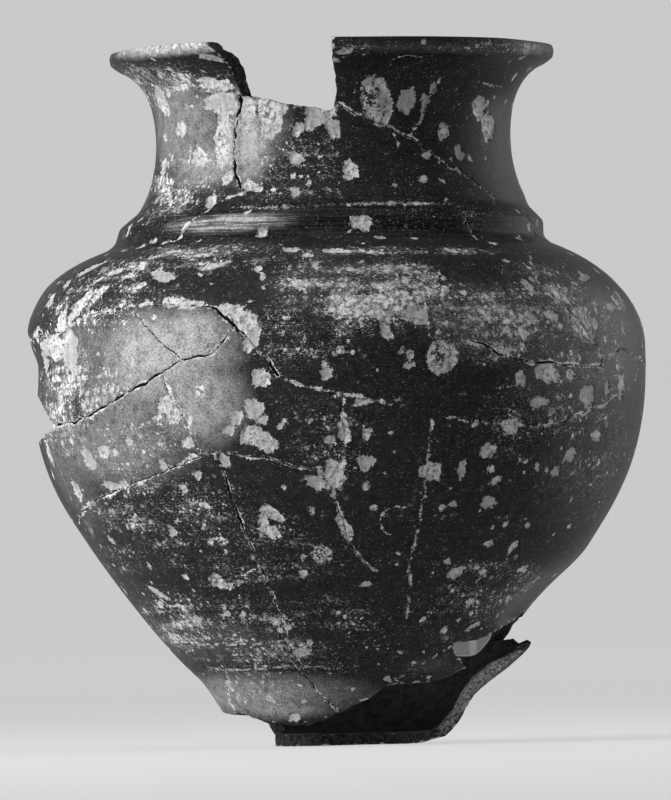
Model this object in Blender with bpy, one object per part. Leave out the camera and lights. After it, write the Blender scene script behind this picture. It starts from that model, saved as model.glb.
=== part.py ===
"""A broken and mended wheel-thrown jar, modelled as one hollow pottery solid.

The jar stands on its foot with the origin under its axis, +Z up and its front towards -Y.
Azimuth is measured in degrees around the axis, 0 at the front and 90 at +X.
"""

import math

import bmesh
import bpy
from mathutils import Vector

# Radii, in metres
STANDING_RADIUS = 0.034
BELLY_RADIUS = 0.1387
NECK_RADIUS = 0.080
WALL = 0.005

# The foot, flat below with a low bevel at its edge and a short waist above it
FOOT_FLARE = 0.016
FOOT_BEVEL = 0.003
FOOT_EDGE = 0.0046
FLOOR = 0.006
FLOOR_HANDLE = 0.012
WAIST_HEIGHT = 0.0244
WAIST_FLARE = 0.0164
WAIST_ANGLE = 46.0
WAIST_HANDLE = 0.0039
WAIST_END_HANDLE = 0.0076

# The wall up to the belly, nearly straight at its flank
FLANK_HEIGHT = 0.058
FLANK_TAPER = 0.026
WALL_FOOT_ANGLE = 41.9
WALL_FOOT_HANDLE = 0.0164
FLANK_ANGLE = 56.7
FLANK_LOW_HANDLE = 0.0221
FLANK_HIGH_HANDLE = 0.0229
BELLY_HEIGHT = 0.081
BELLY_HANDLE = 0.0429

# The shoulder above the belly
SHOULDER_HEIGHT = 0.053
SHOULDER_HANDLE = 0.017
SHOULDER_OVERHANG = 0.0036
SHOULDER_END_ANGLE = 160.0
SHOULDER_END_HANDLE = 0.0410

# The collar, a raised band with a sloping top where the neck meets the shoulder
COLLAR_FILLET = 0.003
COLLAR_FACE = 0.007
COLLAR_BATTER = 0.0012
COLLAR_ROUND = 0.0025
COLLAR_TOP = 0.0045
COLLAR_LEDGE = 0.005

# The neck and its flare
NECK_HEIGHT = 0.031
NECK_FOOT_FLARE = 0.008
NECK_FOOT_ANGLE = 113.0
NECK_FOOT_HANDLE = 0.0066
NECK_HANDLE = 0.0163
FLARE_HEIGHT = 0.033
FLARE_HANDLE = 0.024
FLARE_END_ANGLE = 18.0
FLARE_END_HANDLE = 0.007

# The lip, a round bead that ends the flare
RIM_FLARE = 0.0203
LIP_BEAD = 0.008
LIP_UNDERCUT = 0.0036
LIP_START = -60.0
LIP_TURN = 30.0

# Levels and radii that follow from the sizes above
FOOT_RADIUS = STANDING_RADIUS + FOOT_FLARE
FOOT_LEVEL = FOOT_BEVEL + FOOT_EDGE
WALL_FOOT_RADIUS = FOOT_RADIUS + WAIST_FLARE
WALL_FOOT_LEVEL = FOOT_LEVEL + WAIST_HEIGHT
FLANK_LEVEL = WALL_FOOT_LEVEL + FLANK_HEIGHT
BELLY_LEVEL = FLANK_LEVEL + BELLY_HEIGHT
COLLAR_LEVEL = BELLY_LEVEL + SHOULDER_HEIGHT
NECK_FOOT_RADIUS = NECK_RADIUS + NECK_FOOT_FLARE
NECK_FOOT_LEVEL = COLLAR_LEVEL + COLLAR_FILLET + COLLAR_FACE + COLLAR_ROUND + COLLAR_TOP
COLLAR_RADIUS = NECK_FOOT_RADIUS + COLLAR_LEDGE + COLLAR_ROUND + COLLAR_BATTER
NECK_LEVEL = NECK_FOOT_LEVEL + NECK_HEIGHT
RIM_RADIUS = NECK_RADIUS + RIM_FLARE
LIP_LEVEL = NECK_LEVEL + FLARE_HEIGHT
HEIGHT = LIP_LEVEL + LIP_BEAD

# Out-of-true places: azimuth, reach in azimuth, height over the belly, reach down, reach up, push outwards
LEANING_SHERD = (78.0, 40.0, -0.114, 0.011, 0.031, -0.0085)
SUNK_SHERD = (-90.0, 38.0, 0.001, 0.036, 0.013, -0.0036)
PROUD_SHERD = (-90.0, 38.0, 0.018, 0.005, 0.014, 0.0014)
FOOT_SHERD = (97.0, 46.0, -0.136, 0.016, 0.022, 0.0064)

# The shoulder sits off centre to the left, most of all this far below the collar
DRIFT = 0.0038
DRIFT_DEPTH = 0.010
DRIFT_REACH = 0.036

# How far a break is cut past the wall's faces, past the lip and below the foot
REACH = 0.018
SEGMENTS = 60
BREAK_STEP = 6.0

# The front gap in the rim: azimuth of its sides at the lip, then azimuth and depth below the lip of its edge
FRONT_GAP_SIDES = (-33.7, 1.0)
FRONT_GAP_EDGE = ((-29.6, 0.0240), (-20.6, 0.0263), (-14.4, 0.0288), (-0.8, 0.0317), (2.0, 0.0292))

# The gap in the rim behind it, which the front wall hides below its edge
BACK_GAP_SIDES = (171.0, 217.0)
BACK_GAP_EDGE = ((173.0, 0.0290), (183.0, 0.0270), (192.0, 0.0300), (203.0, 0.0235), (214.0, 0.0210))

# The lower front break: azimuth and height over the ground of the remaining wall's edge
LOWER_EDGE = (
    (-137.0, 0.0100), (-125.0, 0.0140), (-113.0, 0.0145), (-105.0, 0.0175), (-64.0, 0.0170),
    (-50.0, 0.0130), (-33.0, 0.0100), (-23.0, 0.0103), (-4.0, 0.0149), (11.0, 0.0209),
    (19.0, 0.0270), (35.0, 0.0275), (47.0, 0.0297), (52.0, 0.0333), (53.5, 0.0486),
    (65.0, 0.0530), (91.0, 0.0594),
)

# The remaining edge of the floor inside that break: azimuth and distance past the standing ring
FLOOR_EDGE = (
    (-137.0, 0.0060), (-110.0, -0.0010), (-70.0, -0.0043), (-42.0, -0.0043), (0.0, -0.0090),
    (40.0, -0.0028), (74.0, 0.0014), (91.0, 0.0040),
)

# The notch behind the lowest sherd: azimuth, and height over the ground of its low and high edges
SHERD_NOTCH = (
    (38.0, 0.0444, 0.0456), (41.0, 0.0400, 0.0462), (47.0, 0.0366, 0.0472), (53.0, 0.0325, 0.0480),
    (58.0, 0.0290, 0.0474),
)

# The slit that rises behind the foot sherd's tip: azimuth, and height over the ground of its edges
RIGHT_SLIT = (
    (83.0, 0.0412, 0.0556), (91.5, 0.0440, 0.0589), (97.0, 0.0466, 0.0587), (103.0, 0.0445, 0.0575),
    (110.0, 0.0458, 0.0546), (112.0, 0.0456, 0.0493), (114.0, 0.0451, 0.0462),
)

# The lost sherd at the left side: azimuth, and depth below the belly of its low and high edges
SIDE_CHIP = (
    (-69.0, 0.0272, 0.0262), (-71.0, 0.0280, 0.0222), (-74.0, 0.0290, 0.0177), (-79.0, 0.0312, 0.0130),
    (-87.0, 0.0325, 0.0105), (-98.0, 0.0330, 0.0130), (-106.0, 0.0310, 0.0200), (-113.0, 0.0270, 0.0245),
)

# The slip's colour and sheen, the bend that counts as a sharp edge and the gap that the spin closes
SLIP_COLOUR = (0.022, 0.022, 0.023, 1.0)
SLIP_ROUGHNESS = 0.38
SHARP_BEND = 35.0
SEAM = 1e-6

# Points along each curve of the profile
WAIST_STEPS = 2
FLANK_STEPS = 4
WALL_STEPS = 5
SHOULDER_STEPS = 6
NECK_STEPS = 3
FLARE_STEPS = 5
LIP_STEPS = 6
JOIN_STEPS = 3


def clear_objects():
    """Remove whatever objects the file holds."""
    for old in list(bpy.data.objects):
        bpy.data.objects.remove(old, do_unlink=True)


def heading(angle):
    """Unit vector in the profile plane, at an angle from the outward direction."""
    turn = math.radians(angle)
    return Vector((math.cos(turn), math.sin(turn)))


def curve(start, start_angle, start_handle, end, end_angle, end_handle, steps):
    """Points and outward normals of a cubic curve in the profile plane."""
    first = start + heading(start_angle) * start_handle
    second = end - heading(end_angle) * end_handle
    found = []
    for step in range(steps + 1):
        t = step / steps
        u = 1.0 - t
        point = start * u ** 3 + first * (3 * u * u * t) + second * (3 * u * t * t) + end * t ** 3
        slope = (first - start) * (u * u) + (second - first) * (2 * u * t) + (end - second) * (t * t)
        slope.normalize()
        found.append((point, Vector((slope.y, -slope.x))))
    return found


def body_curves():
    """The smooth stretches of the outside: waist, lower wall, shoulder, neck and flare."""
    belly = Vector((BELLY_RADIUS, BELLY_LEVEL))
    neck = Vector((NECK_RADIUS, NECK_LEVEL))
    shoulder_end = Vector((COLLAR_RADIUS + SHOULDER_OVERHANG, COLLAR_LEVEL))
    lip = Vector((RIM_RADIUS - LIP_UNDERCUT, LIP_LEVEL))
    foot = Vector((FOOT_RADIUS, FOOT_LEVEL))
    wall_foot = Vector((WALL_FOOT_RADIUS, WALL_FOOT_LEVEL))
    waist = curve(
        foot, WAIST_ANGLE, WAIST_HANDLE, wall_foot, WALL_FOOT_ANGLE, WAIST_END_HANDLE, WAIST_STEPS,
    )
    flank = Vector((BELLY_RADIUS - FLANK_TAPER, FLANK_LEVEL))
    wall = curve(
        wall_foot, WALL_FOOT_ANGLE, WALL_FOOT_HANDLE, flank, FLANK_ANGLE, FLANK_LOW_HANDLE, FLANK_STEPS,
    )
    wall += curve(flank, FLANK_ANGLE, FLANK_HIGH_HANDLE, belly, 90.0, BELLY_HANDLE, WALL_STEPS)[1:]
    shoulder = curve(
        belly, 90.0, SHOULDER_HANDLE, shoulder_end, SHOULDER_END_ANGLE, SHOULDER_END_HANDLE, SHOULDER_STEPS,
    )
    neck_low = curve(
        Vector((NECK_FOOT_RADIUS, NECK_FOOT_LEVEL)), NECK_FOOT_ANGLE, NECK_FOOT_HANDLE,
        neck, 90.0, NECK_HANDLE, NECK_STEPS,
    )
    flare = curve(neck, 90.0, FLARE_HANDLE, lip, FLARE_END_ANGLE, FLARE_END_HANDLE, FLARE_STEPS)
    return waist, wall, shoulder, neck_low, flare


def collar_points():
    """The collar's outline, from the shoulder up to the neck's foot."""
    face_low = COLLAR_LEVEL + COLLAR_FILLET
    face_high = face_low + COLLAR_FACE
    return [
        Vector((COLLAR_RADIUS, face_low)),
        Vector((COLLAR_RADIUS - COLLAR_BATTER, face_high)),
        Vector((COLLAR_RADIUS - COLLAR_BATTER - COLLAR_ROUND, face_high + COLLAR_ROUND)),
    ]


def lip_points():
    """The round bead of the lip, from its underside over the top to its inner side."""
    half = LIP_BEAD / 2
    centre = Vector((RIM_RADIUS - half, HEIGHT - half))
    return [centre + heading(LIP_START + LIP_TURN * step) * half for step in range(LIP_STEPS + 1)]


def profile():
    """Closed outline of the wall: up the outside from the axis, over the lip and down the inside."""
    waist, wall, shoulder, neck, flare = body_curves()
    outside = [Vector((0.0, 0.0)), Vector((STANDING_RADIUS, 0.0))]
    outside.append(Vector((FOOT_RADIUS - FOOT_EDGE, FOOT_BEVEL)))
    outside += [point for point, _ in waist]
    outside += [point for point, _ in wall[1:]]
    outside += [point for point, _ in shoulder[1:]]
    outside += collar_points()
    outside += [point for point, _ in neck]
    outside += [point for point, _ in flare[1:-1]]
    outside += lip_points()
    inside = [point - side * WALL for point, side in reversed(flare[:-1])]
    inside += [point - side * WALL for point, side in reversed(neck[:-1])]
    inside += [point - side * WALL for point, side in reversed(shoulder[1:])]
    inside += [point - side * WALL for point, side in reversed(wall[:-1])]
    join = curve(
        Vector((STANDING_RADIUS, FLOOR)), 0.0, FLOOR_HANDLE,
        inside[-1], WALL_FOOT_ANGLE, FLOOR_HANDLE, JOIN_STEPS,
    )
    inside += [point for point, _ in reversed(join[:-1])]
    inside.append(Vector((0.0, FLOOR)))
    return outside + inside


def swell(distance, reach):
    """A smooth hump: 1 at no distance, 0 at the reach and past it."""
    if abs(distance) >= reach:
        return 0.0
    return math.cos(math.pi / 2 * distance / reach) ** 2


def push(azimuth, level, place):
    """How far one out-of-true place moves the wall outwards at a point."""
    centre, spread, height, below, above, amount = place
    turn = (azimuth - centre + 180.0) % 360.0 - 180.0
    rise = level - BELLY_LEVEL - height
    return amount * swell(turn, spread) * swell(rise, below if rise < 0 else above)


def settle(point):
    """Move a point of the true jar to where the mended sherds hold it."""
    radius = math.hypot(point.x, point.y)
    if radius < STANDING_RADIUS:
        return point
    azimuth = math.degrees(math.atan2(point.x, -point.y))
    places = (LEANING_SHERD, SUNK_SHERD, PROUD_SHERD, FOOT_SHERD)
    grown = radius + sum(push(azimuth, point.z, place) for place in places)
    moved = point * (grown / radius)
    moved.z = point.z
    moved.x -= DRIFT * swell(point.z - COLLAR_LEVEL + DRIFT_DEPTH, DRIFT_REACH)
    return moved


def new_object(name, mesh):
    """Put a mesh into the scene as an object of its own."""
    made = bpy.data.objects.new(name, mesh)
    bpy.context.scene.collection.objects.link(made)
    return made


def thrown_jar():
    """Spin the profile about the axis and move the wall to its settled shape."""
    shape = bmesh.new()
    outline = [shape.verts.new((point.x, 0.0, point.y)) for point in profile()]
    edges = [shape.edges.new(pair) for pair in zip(outline, outline[1:])]
    bmesh.ops.spin(
        shape, geom=outline + edges, axis=(0, 0, 1), cent=(0, 0, 0),
        angle=math.tau, steps=SEGMENTS, use_merge=True,
    )
    bmesh.ops.remove_doubles(shape, verts=shape.verts, dist=SEAM)
    for vertex in shape.verts:
        vertex.co = settle(vertex.co)
    bmesh.ops.recalc_face_normals(shape, faces=shape.faces)
    mesh = bpy.data.meshes.new("vase")
    shape.to_mesh(mesh)
    shape.free()
    return new_object("vase", mesh)


def between(table, azimuth):
    """Read a value off a list of (azimuth, value) pairs, straight between them."""
    for (low, first), (high, second) in zip(table, table[1:]):
        if azimuth <= high:
            return first + (second - first) * (azimuth - low) / (high - low)
    return table[-1][1]


def place_at(azimuth, radius, level):
    """A point in space from its azimuth, its distance from the axis and its height."""
    turn = math.radians(azimuth)
    return (radius * math.sin(turn), -radius * math.cos(turn), level)


def refine(stations):
    """Add stations so that a cutter follows the round wall in short steps."""
    fine = [stations[0]]
    for before, after in zip(stations, stations[1:]):
        count = max(1, math.ceil(abs(after[0] - before[0]) / BREAK_STEP))
        for step in range(1, count + 1):
            share = step / count
            fine.append(tuple(a + (b - a) * share for a, b in zip(before, after)))
    return fine


def break_cutter(name, stations, inner, outer):
    """A band around the axis that cuts a break through the wall.

    Each station gives the azimuth of the low edge, its height, the azimuth of the high edge and its height.
    The inner radius is a number or a list of (azimuth, radius) pairs.
    """
    shape = bmesh.new()
    rings = []
    for low_turn, low, high_turn, high in refine(stations):
        near = between(inner, low_turn) if isinstance(inner, tuple) else inner
        corners = (
            place_at(low_turn, near, low), place_at(low_turn, outer, low),
            place_at(high_turn, outer, high), place_at(high_turn, near, high),
        )
        rings.append([shape.verts.new(corner) for corner in corners])
    for before, after in zip(rings, rings[1:]):
        for side in range(4):
            shape.faces.new((before[side], before[side - 1], after[side - 1], after[side]))
    shape.faces.new(rings[0])
    shape.faces.new(reversed(rings[-1]))
    bmesh.ops.recalc_face_normals(shape, faces=shape.faces)
    mesh = bpy.data.meshes.new(name)
    shape.to_mesh(mesh)
    shape.free()
    cutter = new_object(name, mesh)
    cutter.hide_render = True
    cutter.display_type = "WIRE"
    return cutter


def rim_gap(name, sides, edge):
    """Cut a gap through the rim, with sides that lean from the edge's ends to their azimuths at the lip."""
    top = HEIGHT + REACH
    first = edge[0][0]
    last = edge[-1][0]
    stations = []
    for turn, depth in edge:
        at_lip = sides[0] + (sides[1] - sides[0]) * (turn - first) / (last - first)
        at_top = turn + (at_lip - turn) * (depth + REACH) / depth
        stations.append((turn, HEIGHT - depth, at_top, top))
    return break_cutter(name, stations, NECK_RADIUS - WALL - REACH, RIM_RADIUS + REACH)


def band(name, table, inner):
    """Cut a break that has a low and a high edge at each azimuth."""
    stations = [(turn, low, turn, high) for turn, low, high in table]
    return break_cutter(name, stations, inner, BELLY_RADIUS + REACH)


def breaks():
    """Every place where a piece of the jar is lost."""
    lower = [(turn, -REACH, turn, high) for turn, high in LOWER_EDGE]
    floor = tuple((turn, STANDING_RADIUS + past) for turn, past in FLOOR_EDGE)
    chip = [(turn, BELLY_LEVEL - low, BELLY_LEVEL - high) for turn, low, high in SIDE_CHIP]
    inside_foot = WALL_FOOT_RADIUS - WALL - REACH
    return [
        rim_gap("front_rim_gap", FRONT_GAP_SIDES, FRONT_GAP_EDGE),
        rim_gap("back_rim_gap", BACK_GAP_SIDES, BACK_GAP_EDGE),
        break_cutter("lower_break", lower, floor, BELLY_RADIUS + REACH),
        band("sherd_notch", SHERD_NOTCH, inside_foot),
        band("right_slit", RIGHT_SLIT, inside_foot),
        band("side_chip", chip, BELLY_RADIUS - WALL - REACH),
    ]


def slip_material():
    """The dark, softly shining burnished slip."""
    material = bpy.data.materials.new("burnished_slip")
    material.use_nodes = True
    shader = material.node_tree.nodes["Principled BSDF"]
    shader.inputs["Base Color"].default_value = SLIP_COLOUR
    shader.inputs["Roughness"].default_value = SLIP_ROUGHNESS
    shader.inputs["Metallic"].default_value = 0.0
    return material


def main():
    """Build the jar and cut its breaks."""
    clear_objects()
    jar = thrown_jar()
    jar.data.materials.append(slip_material())
    for cutter in breaks():
        cut = jar.modifiers.new(cutter.name, "BOOLEAN")
        cut.operation = "DIFFERENCE"
        cut.solver = "EXACT"
        cut.object = cutter
    jar.data.shade_smooth()
    jar.data.set_sharp_from_angle(angle=math.radians(SHARP_BEND))


main()
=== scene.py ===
"""The look of a broken and mended burnished jar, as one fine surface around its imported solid.

A place on the jar is an azimuth, measured around the axis from the front towards +X, and a height over the
ground. Marks that the photograph shows are held as its pixels, and the camera puts them onto the jar.
"""

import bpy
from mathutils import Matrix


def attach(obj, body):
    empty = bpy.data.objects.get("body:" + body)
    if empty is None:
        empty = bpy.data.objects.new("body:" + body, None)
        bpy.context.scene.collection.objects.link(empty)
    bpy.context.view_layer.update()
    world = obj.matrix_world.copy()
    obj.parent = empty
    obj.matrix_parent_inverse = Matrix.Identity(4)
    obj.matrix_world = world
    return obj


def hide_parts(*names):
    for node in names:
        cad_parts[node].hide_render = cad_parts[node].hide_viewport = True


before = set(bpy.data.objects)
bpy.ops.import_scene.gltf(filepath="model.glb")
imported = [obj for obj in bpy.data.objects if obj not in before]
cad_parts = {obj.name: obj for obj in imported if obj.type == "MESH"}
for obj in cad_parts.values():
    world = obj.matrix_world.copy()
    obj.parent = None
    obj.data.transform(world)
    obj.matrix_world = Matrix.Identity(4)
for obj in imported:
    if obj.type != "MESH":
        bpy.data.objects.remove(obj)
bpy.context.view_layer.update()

import math

import bmesh
import bpy
import numpy as np
from mathutils import Matrix, Vector, noise
from mathutils.bvhtree import BVHTree
from mathutils.geometry import delaunay_2d_cdt
from mathutils.kdtree import KDTree

MM = 0.001

# The photograph's frame in pixels, the size of a pixel on the jar in mm, and the camera that took it
PHOTO_WIDTH = 671
PHOTO_HEIGHT = 800
PIXEL = 0.45
CAMERA_DISTANCE = 4.2
CAMERA_LEVEL = 0.043
CAMERA_AIM = (-0.0014, 0.1553)
CAMERA_ROLL = 1.2
VIEW_WIDTH = 0.302

# The wall's sizes, as the solid has them: radii, foot and floor
STANDING_RADIUS = 0.034
BELLY_RADIUS = 0.1387
NECK_RADIUS = 0.080
WALL = 0.005
FOOT_FLARE = 0.016
FOOT_BEVEL = 0.003
FOOT_EDGE = 0.0046
FLOOR = 0.006
FLOOR_HANDLE = 0.012
WAIST_HEIGHT = 0.0244
WAIST_FLARE = 0.0164
WAIST_ANGLE = 46.0
WAIST_HANDLE = 0.0039
WAIST_END_HANDLE = 0.0076

# The wall up to the belly and the shoulder over it
FLANK_HEIGHT = 0.058
FLANK_TAPER = 0.026
WALL_FOOT_ANGLE = 41.9
WALL_FOOT_HANDLE = 0.0164
FLANK_ANGLE = 56.7
FLANK_LOW_HANDLE = 0.0221
FLANK_HIGH_HANDLE = 0.0229
BELLY_HEIGHT = 0.081
BELLY_HANDLE = 0.0429
SHOULDER_HEIGHT = 0.053
SHOULDER_HANDLE = 0.017
SHOULDER_OVERHANG = 0.0036
SHOULDER_END_ANGLE = 160.0
SHOULDER_END_HANDLE = 0.0410

# The collar, the neck, its flare and the lip
COLLAR_FILLET = 0.003
COLLAR_FACE = 0.007
COLLAR_BATTER = 0.0012
COLLAR_ROUND = 0.0025
COLLAR_TOP = 0.0045
COLLAR_LEDGE = 0.005
NECK_HEIGHT = 0.031
NECK_FOOT_FLARE = 0.008
NECK_FOOT_ANGLE = 113.0
NECK_FOOT_HANDLE = 0.0066
NECK_HANDLE = 0.0163
FLARE_HEIGHT = 0.033
FLARE_HANDLE = 0.024
FLARE_END_ANGLE = 18.0
FLARE_END_HANDLE = 0.007
RIM_FLARE = 0.0203
LIP_BEAD = 0.008
LIP_UNDERCUT = 0.0036
LIP_FACE = 0.0056
LIP_ARRIS = 0.0007
LIP_ROUND = 0.0012
LIP_CROWN = 0.0002
LIP_TOP = 0.0052
LIP_FALL = 0.0018

# Levels and radii that follow from the sizes above
FOOT_RADIUS = STANDING_RADIUS + FOOT_FLARE
FOOT_LEVEL = FOOT_BEVEL + FOOT_EDGE
WALL_FOOT_RADIUS = FOOT_RADIUS + WAIST_FLARE
WALL_FOOT_LEVEL = FOOT_LEVEL + WAIST_HEIGHT
FLANK_LEVEL = WALL_FOOT_LEVEL + FLANK_HEIGHT
BELLY_LEVEL = FLANK_LEVEL + BELLY_HEIGHT
COLLAR_LEVEL = BELLY_LEVEL + SHOULDER_HEIGHT
NECK_FOOT_RADIUS = NECK_RADIUS + NECK_FOOT_FLARE
NECK_FOOT_LEVEL = COLLAR_LEVEL + COLLAR_FILLET + COLLAR_FACE + COLLAR_ROUND + COLLAR_TOP
COLLAR_RADIUS = NECK_FOOT_RADIUS + COLLAR_LEDGE + COLLAR_ROUND + COLLAR_BATTER
NECK_LEVEL = NECK_FOOT_LEVEL + NECK_HEIGHT
RIM_RADIUS = NECK_RADIUS + RIM_FLARE
LIP_LEVEL = NECK_LEVEL + FLARE_HEIGHT
HEIGHT = LIP_LEVEL + LIP_BEAD

# Out-of-true places: azimuth, reach in azimuth, height over the belly, reach down, reach up, push outwards
OUT_OF_TRUE = (
    (78.0, 40.0, -0.114, 0.011, 0.031, -0.0118),
    (-90.0, 38.0, 0.001, 0.036, 0.013, -0.0036),
    (-90.0, 38.0, 0.018, 0.005, 0.014, 0.0014),
    (97.0, 46.0, -0.136, 0.016, 0.022, 0.0064),
    (97.0, 40.0, -0.127, 0.010, 0.016, 0.0028),
    (110.0, 22.0, -0.114, 0.011, 0.031, -0.0014),
)
DRIFT = 0.0038
DRIFT_DEPTH = 0.010
DRIFT_REACH = 0.036

# How fine the surface is, in metres: along the profile, between mesh points, along a break and along a mark
CURVE_POINTS = 81
PROFILE_STEP = 0.0002
CORNER_ROUNDING = 0.0007
FRONT_SPACING = 0.00198
BACK_SPACING = 0.0039
INSIDE_SPACING = 0.0052
BREAK_SPACING = 0.0009
CLOSEST = 0.00048
MARK_STEP = 0.0006
BACK_MARK_STEP = 0.0008
RING_STEP = 0.0009
SECTION_ROWS = 4
ROW_PITCH = 0.88
POLE_RADIUS = 0.008
POLE_SIDES = 16

# How far past the lip the marks and the fine mesh go, and how far loose points stay off both poles, in the
# unrolled surface's coordinate, and how far they stay off the seam, in metres
PAST_LIP = 0.02
FINE_PAST_LIP = 0.05
POLE_MARGIN = 0.02
CLEAR_OF_SEAM = 0.0005

# Beside a join, how far off its rows of points lie; the size from which a flake is large; and the rings of
# points in and round a flake, as shares of its size
THINNEST_GAP = 0.00025
BESIDE_GAP = 0.0002
LARGE_FLAKE = 0.0018
LARGE_FLAKE_RINGS = (0.0, 0.5, 0.85, 1.05, 1.3)
SMALL_FLAKE_RINGS = (0.0, 0.7, 1.2)

# Large primes that number the cells of space in which at most one loose point is kept
CELL_COLUMNS = 100003
CELL_ROWS = 100019

# The azimuth where the surface is joined to itself, clear of every break, and how far round the front goes
SEAM_AZIMUTH = -210.0
FRONT_REACH = 108.0
ROUND_THE_SEAM = (0.0, -math.tau, math.tau)

# Unevenness in metres: the size of its features, and in pairs also how far it goes
BREAK_WOBBLE = (0.0042, 0.00062)
JOIN_WANDER = (0.006, 0.0009)
BACK_JOIN_WANDER = (0.010, 0.0030)
SECTION_GRAIN = (0.0028, 0.00045)
HAND_SIZE = 0.045
CHIP_SIZE = 0.0036
PIT_GRAIN = 0.0019

# How fast the noise's layers weaken, and how much finer each is than the one before
NOISE_FALL = 0.9
NOISE_STEP = 2.1

# How ragged a flake is, without and with slip left in it, and the numbers of lobes that make up its outline
RAGGED = 0.22
RING_RAGGED = 0.06
LOBES = (2, 3, 5, 7, 11)

# Depths of the marks in mm, and how far into and away from a mark its field reaches
FLAKE_DEPTH = 0.55
RING_DEPTH = 0.75
SPECK_DEPTH = 0.16
JOIN_DEPTH = 0.85
CHALK_DEPTH = 0.14
CHIP_DEPTH = 0.7
CHIP_REACH = 1.6
SCRATCH_WIDTH = 0.1
GROOVE_DEPTH = 0.5
LINE_DEPTH = 0.16
FIELD_REACH = 3.0
EDGE_REACH = 4.0

# The wheel's ridges: their width in metres, their height in mm outside and inside, and the whole skin's
# unevenness and inset in mm
RIDGE_WIDTH = 0.0045
RIDGE_OUTSIDE = 0.07
RIDGE_INSIDE = 0.22
UNEVENNESS = 0.22
INSET = 0.25

# Edges of the mesh that are sharper than this many degrees stay sharp; places nearer than this are one
SHARP_ANGLE = 58.0
SAME_PLACE = 1e-5

# Where past the lip the dark inside starts, and over how much of the coordinate it blends in
INSIDE_STARTS = 0.03
INSIDE_BLEND = 0.05

# How strongly the whole jar is peppered, and lightened by a pale haze with painted sheen, where nothing else
# is said
PEPPER_OUTSIDE = 0.16
PEPPER_INSIDE = 0.10
HAZE_AND_PAINTED_SHEEN_OUTSIDE = 0.05

# Turned grooves over the foot: height, half width and share of the depth; and heights of fine lines
GROOVES = ((0.0146, 0.0007, 1.0), (0.0186, 0.0006, 0.5))
FINE_LINES = (0.0345, 0.0452, 0.2430, 0.2375)
FINE_LINE_WIDTH = 0.0005

# Small flakes strewn over the whole outside: how many places are tried, from what height up, and their least
# size and its spread in mm
SPECK_COUNT = 1150
SPECK_LOWEST = 0.012
SPECK_SIZE = 0.7
SPECK_SPREAD = 1.5

# The sine of the azimuth past which a flake isn't widened any more, though the photograph foreshortens it
MOST_ASIDE = 0.85

# The rim's gap at the front: azimuth and height down its left side, along its edge and up its right
FRONT_GAP = (
    (-33.7, 0.313), (-33.4, 0.311), (-31.2, 0.3078), (-30.3, 0.305), (-30.2, 0.301), (-30.4, 0.296),
    (-29.6, 0.289), (-24, 0.2878), (-20.6, 0.2867), (-14.4, 0.2842), (-9, 0.2836), (-0.8, 0.2813),
    (0.9, 0.283), (1.5, 0.2905), (0.6, 0.3), (0.2, 0.306), (0.3, 0.313),
)
FRONT_GAP_SKEW = 2.3
SKEWED_PLACES = 7

# The rim's gap behind it
BACK_GAP = (
    (-189, 0.313), (-188.6, 0.306), (-187.6, 0.296), (-187, 0.284), (-182, 0.2868), (-177, 0.286),
    (-172, 0.2838), (-168, 0.283), (-162, 0.287), (-157, 0.2895), (-151, 0.2905), (-146, 0.292),
    (-144.4, 0.301), (-143.6, 0.307), (-143, 0.313),
)

# The lower break: azimuth and height of the wall's edge, round the sherd, the notch and the slit behind it
LOWER_BREAK = (
    (-137, 0.01), (-125, 0.014), (-113, 0.0145), (-105, 0.0172), (-84, 0.0158), (-72, 0.0146),
    (-65, 0.0147), (-62.5, 0.0167), (-57, 0.0146), (-50, 0.013), (-44, 0.0124), (-33, 0.01), (-23, 0.0103),
    (-13, 0.0116), (-4, 0.0149), (4, 0.0182), (11, 0.0209), (16, 0.0254), (19, 0.027), (27, 0.0269),
    (35, 0.0275), (42, 0.0282), (47, 0.0297), (51, 0.032), (53.6, 0.0331), (50, 0.0352), (47, 0.0372),
    (43, 0.0388), (41, 0.0404), (38.4, 0.0448), (41, 0.045), (44, 0.0454), (49.5, 0.046), (52, 0.0472),
    (55.5, 0.049), (63.5, 0.0516), (72, 0.0528), (83, 0.0542), (90.5, 0.0564), (95, 0.0582), (103, 0.0577),
    (111, 0.055), (115, 0.0522), (116.5, 0.0492), (118, 0.0454), (112, 0.0456), (110, 0.0444),
    (106, 0.0436), (101, 0.0452), (97, 0.0447), (91.4, 0.0428), (91.3, 0.036), (91.2, 0.03), (91.1, 0.024),
    (91, 0.018), (91, 0.011),
)

# Its inner edge where the break runs slantwise through the wall: the same number of last places
SLANTED_BREAK = (
    (112, 0.045), (110, 0.0438), (106, 0.0426), (101, 0.0428), (97, 0.0424), (91, 0.0414), (76, 0.036),
    (71, 0.03), (73, 0.024), (80, 0.018), (88, 0.011),
)

# The rest of that break, across the foot: azimuth and radius
FLOOR_BREAK = (
    (91, 0.038), (74, 0.0354), (57, 0.033), (40, 0.0312), (20, 0.0276), (0, 0.025), (-21, 0.027),
    (-42, 0.0297), (-70, 0.0297), (-90, 0.0312), (-110, 0.033), (-137, 0.04),
)

# The lost sherd at the left side: azimuth and height, along its lower edge and back over it
SIDE_CHIP = (
    (-68.8, 0.1442), (-71, 0.143), (-74, 0.142), (-79, 0.1398), (-87, 0.1385), (-98, 0.138), (-106, 0.14),
    (-113.4, 0.145), (-106, 0.151), (-98, 0.158), (-87, 0.1605), (-79, 0.158), (-74, 0.1533), (-71, 0.1488),
)

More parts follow.
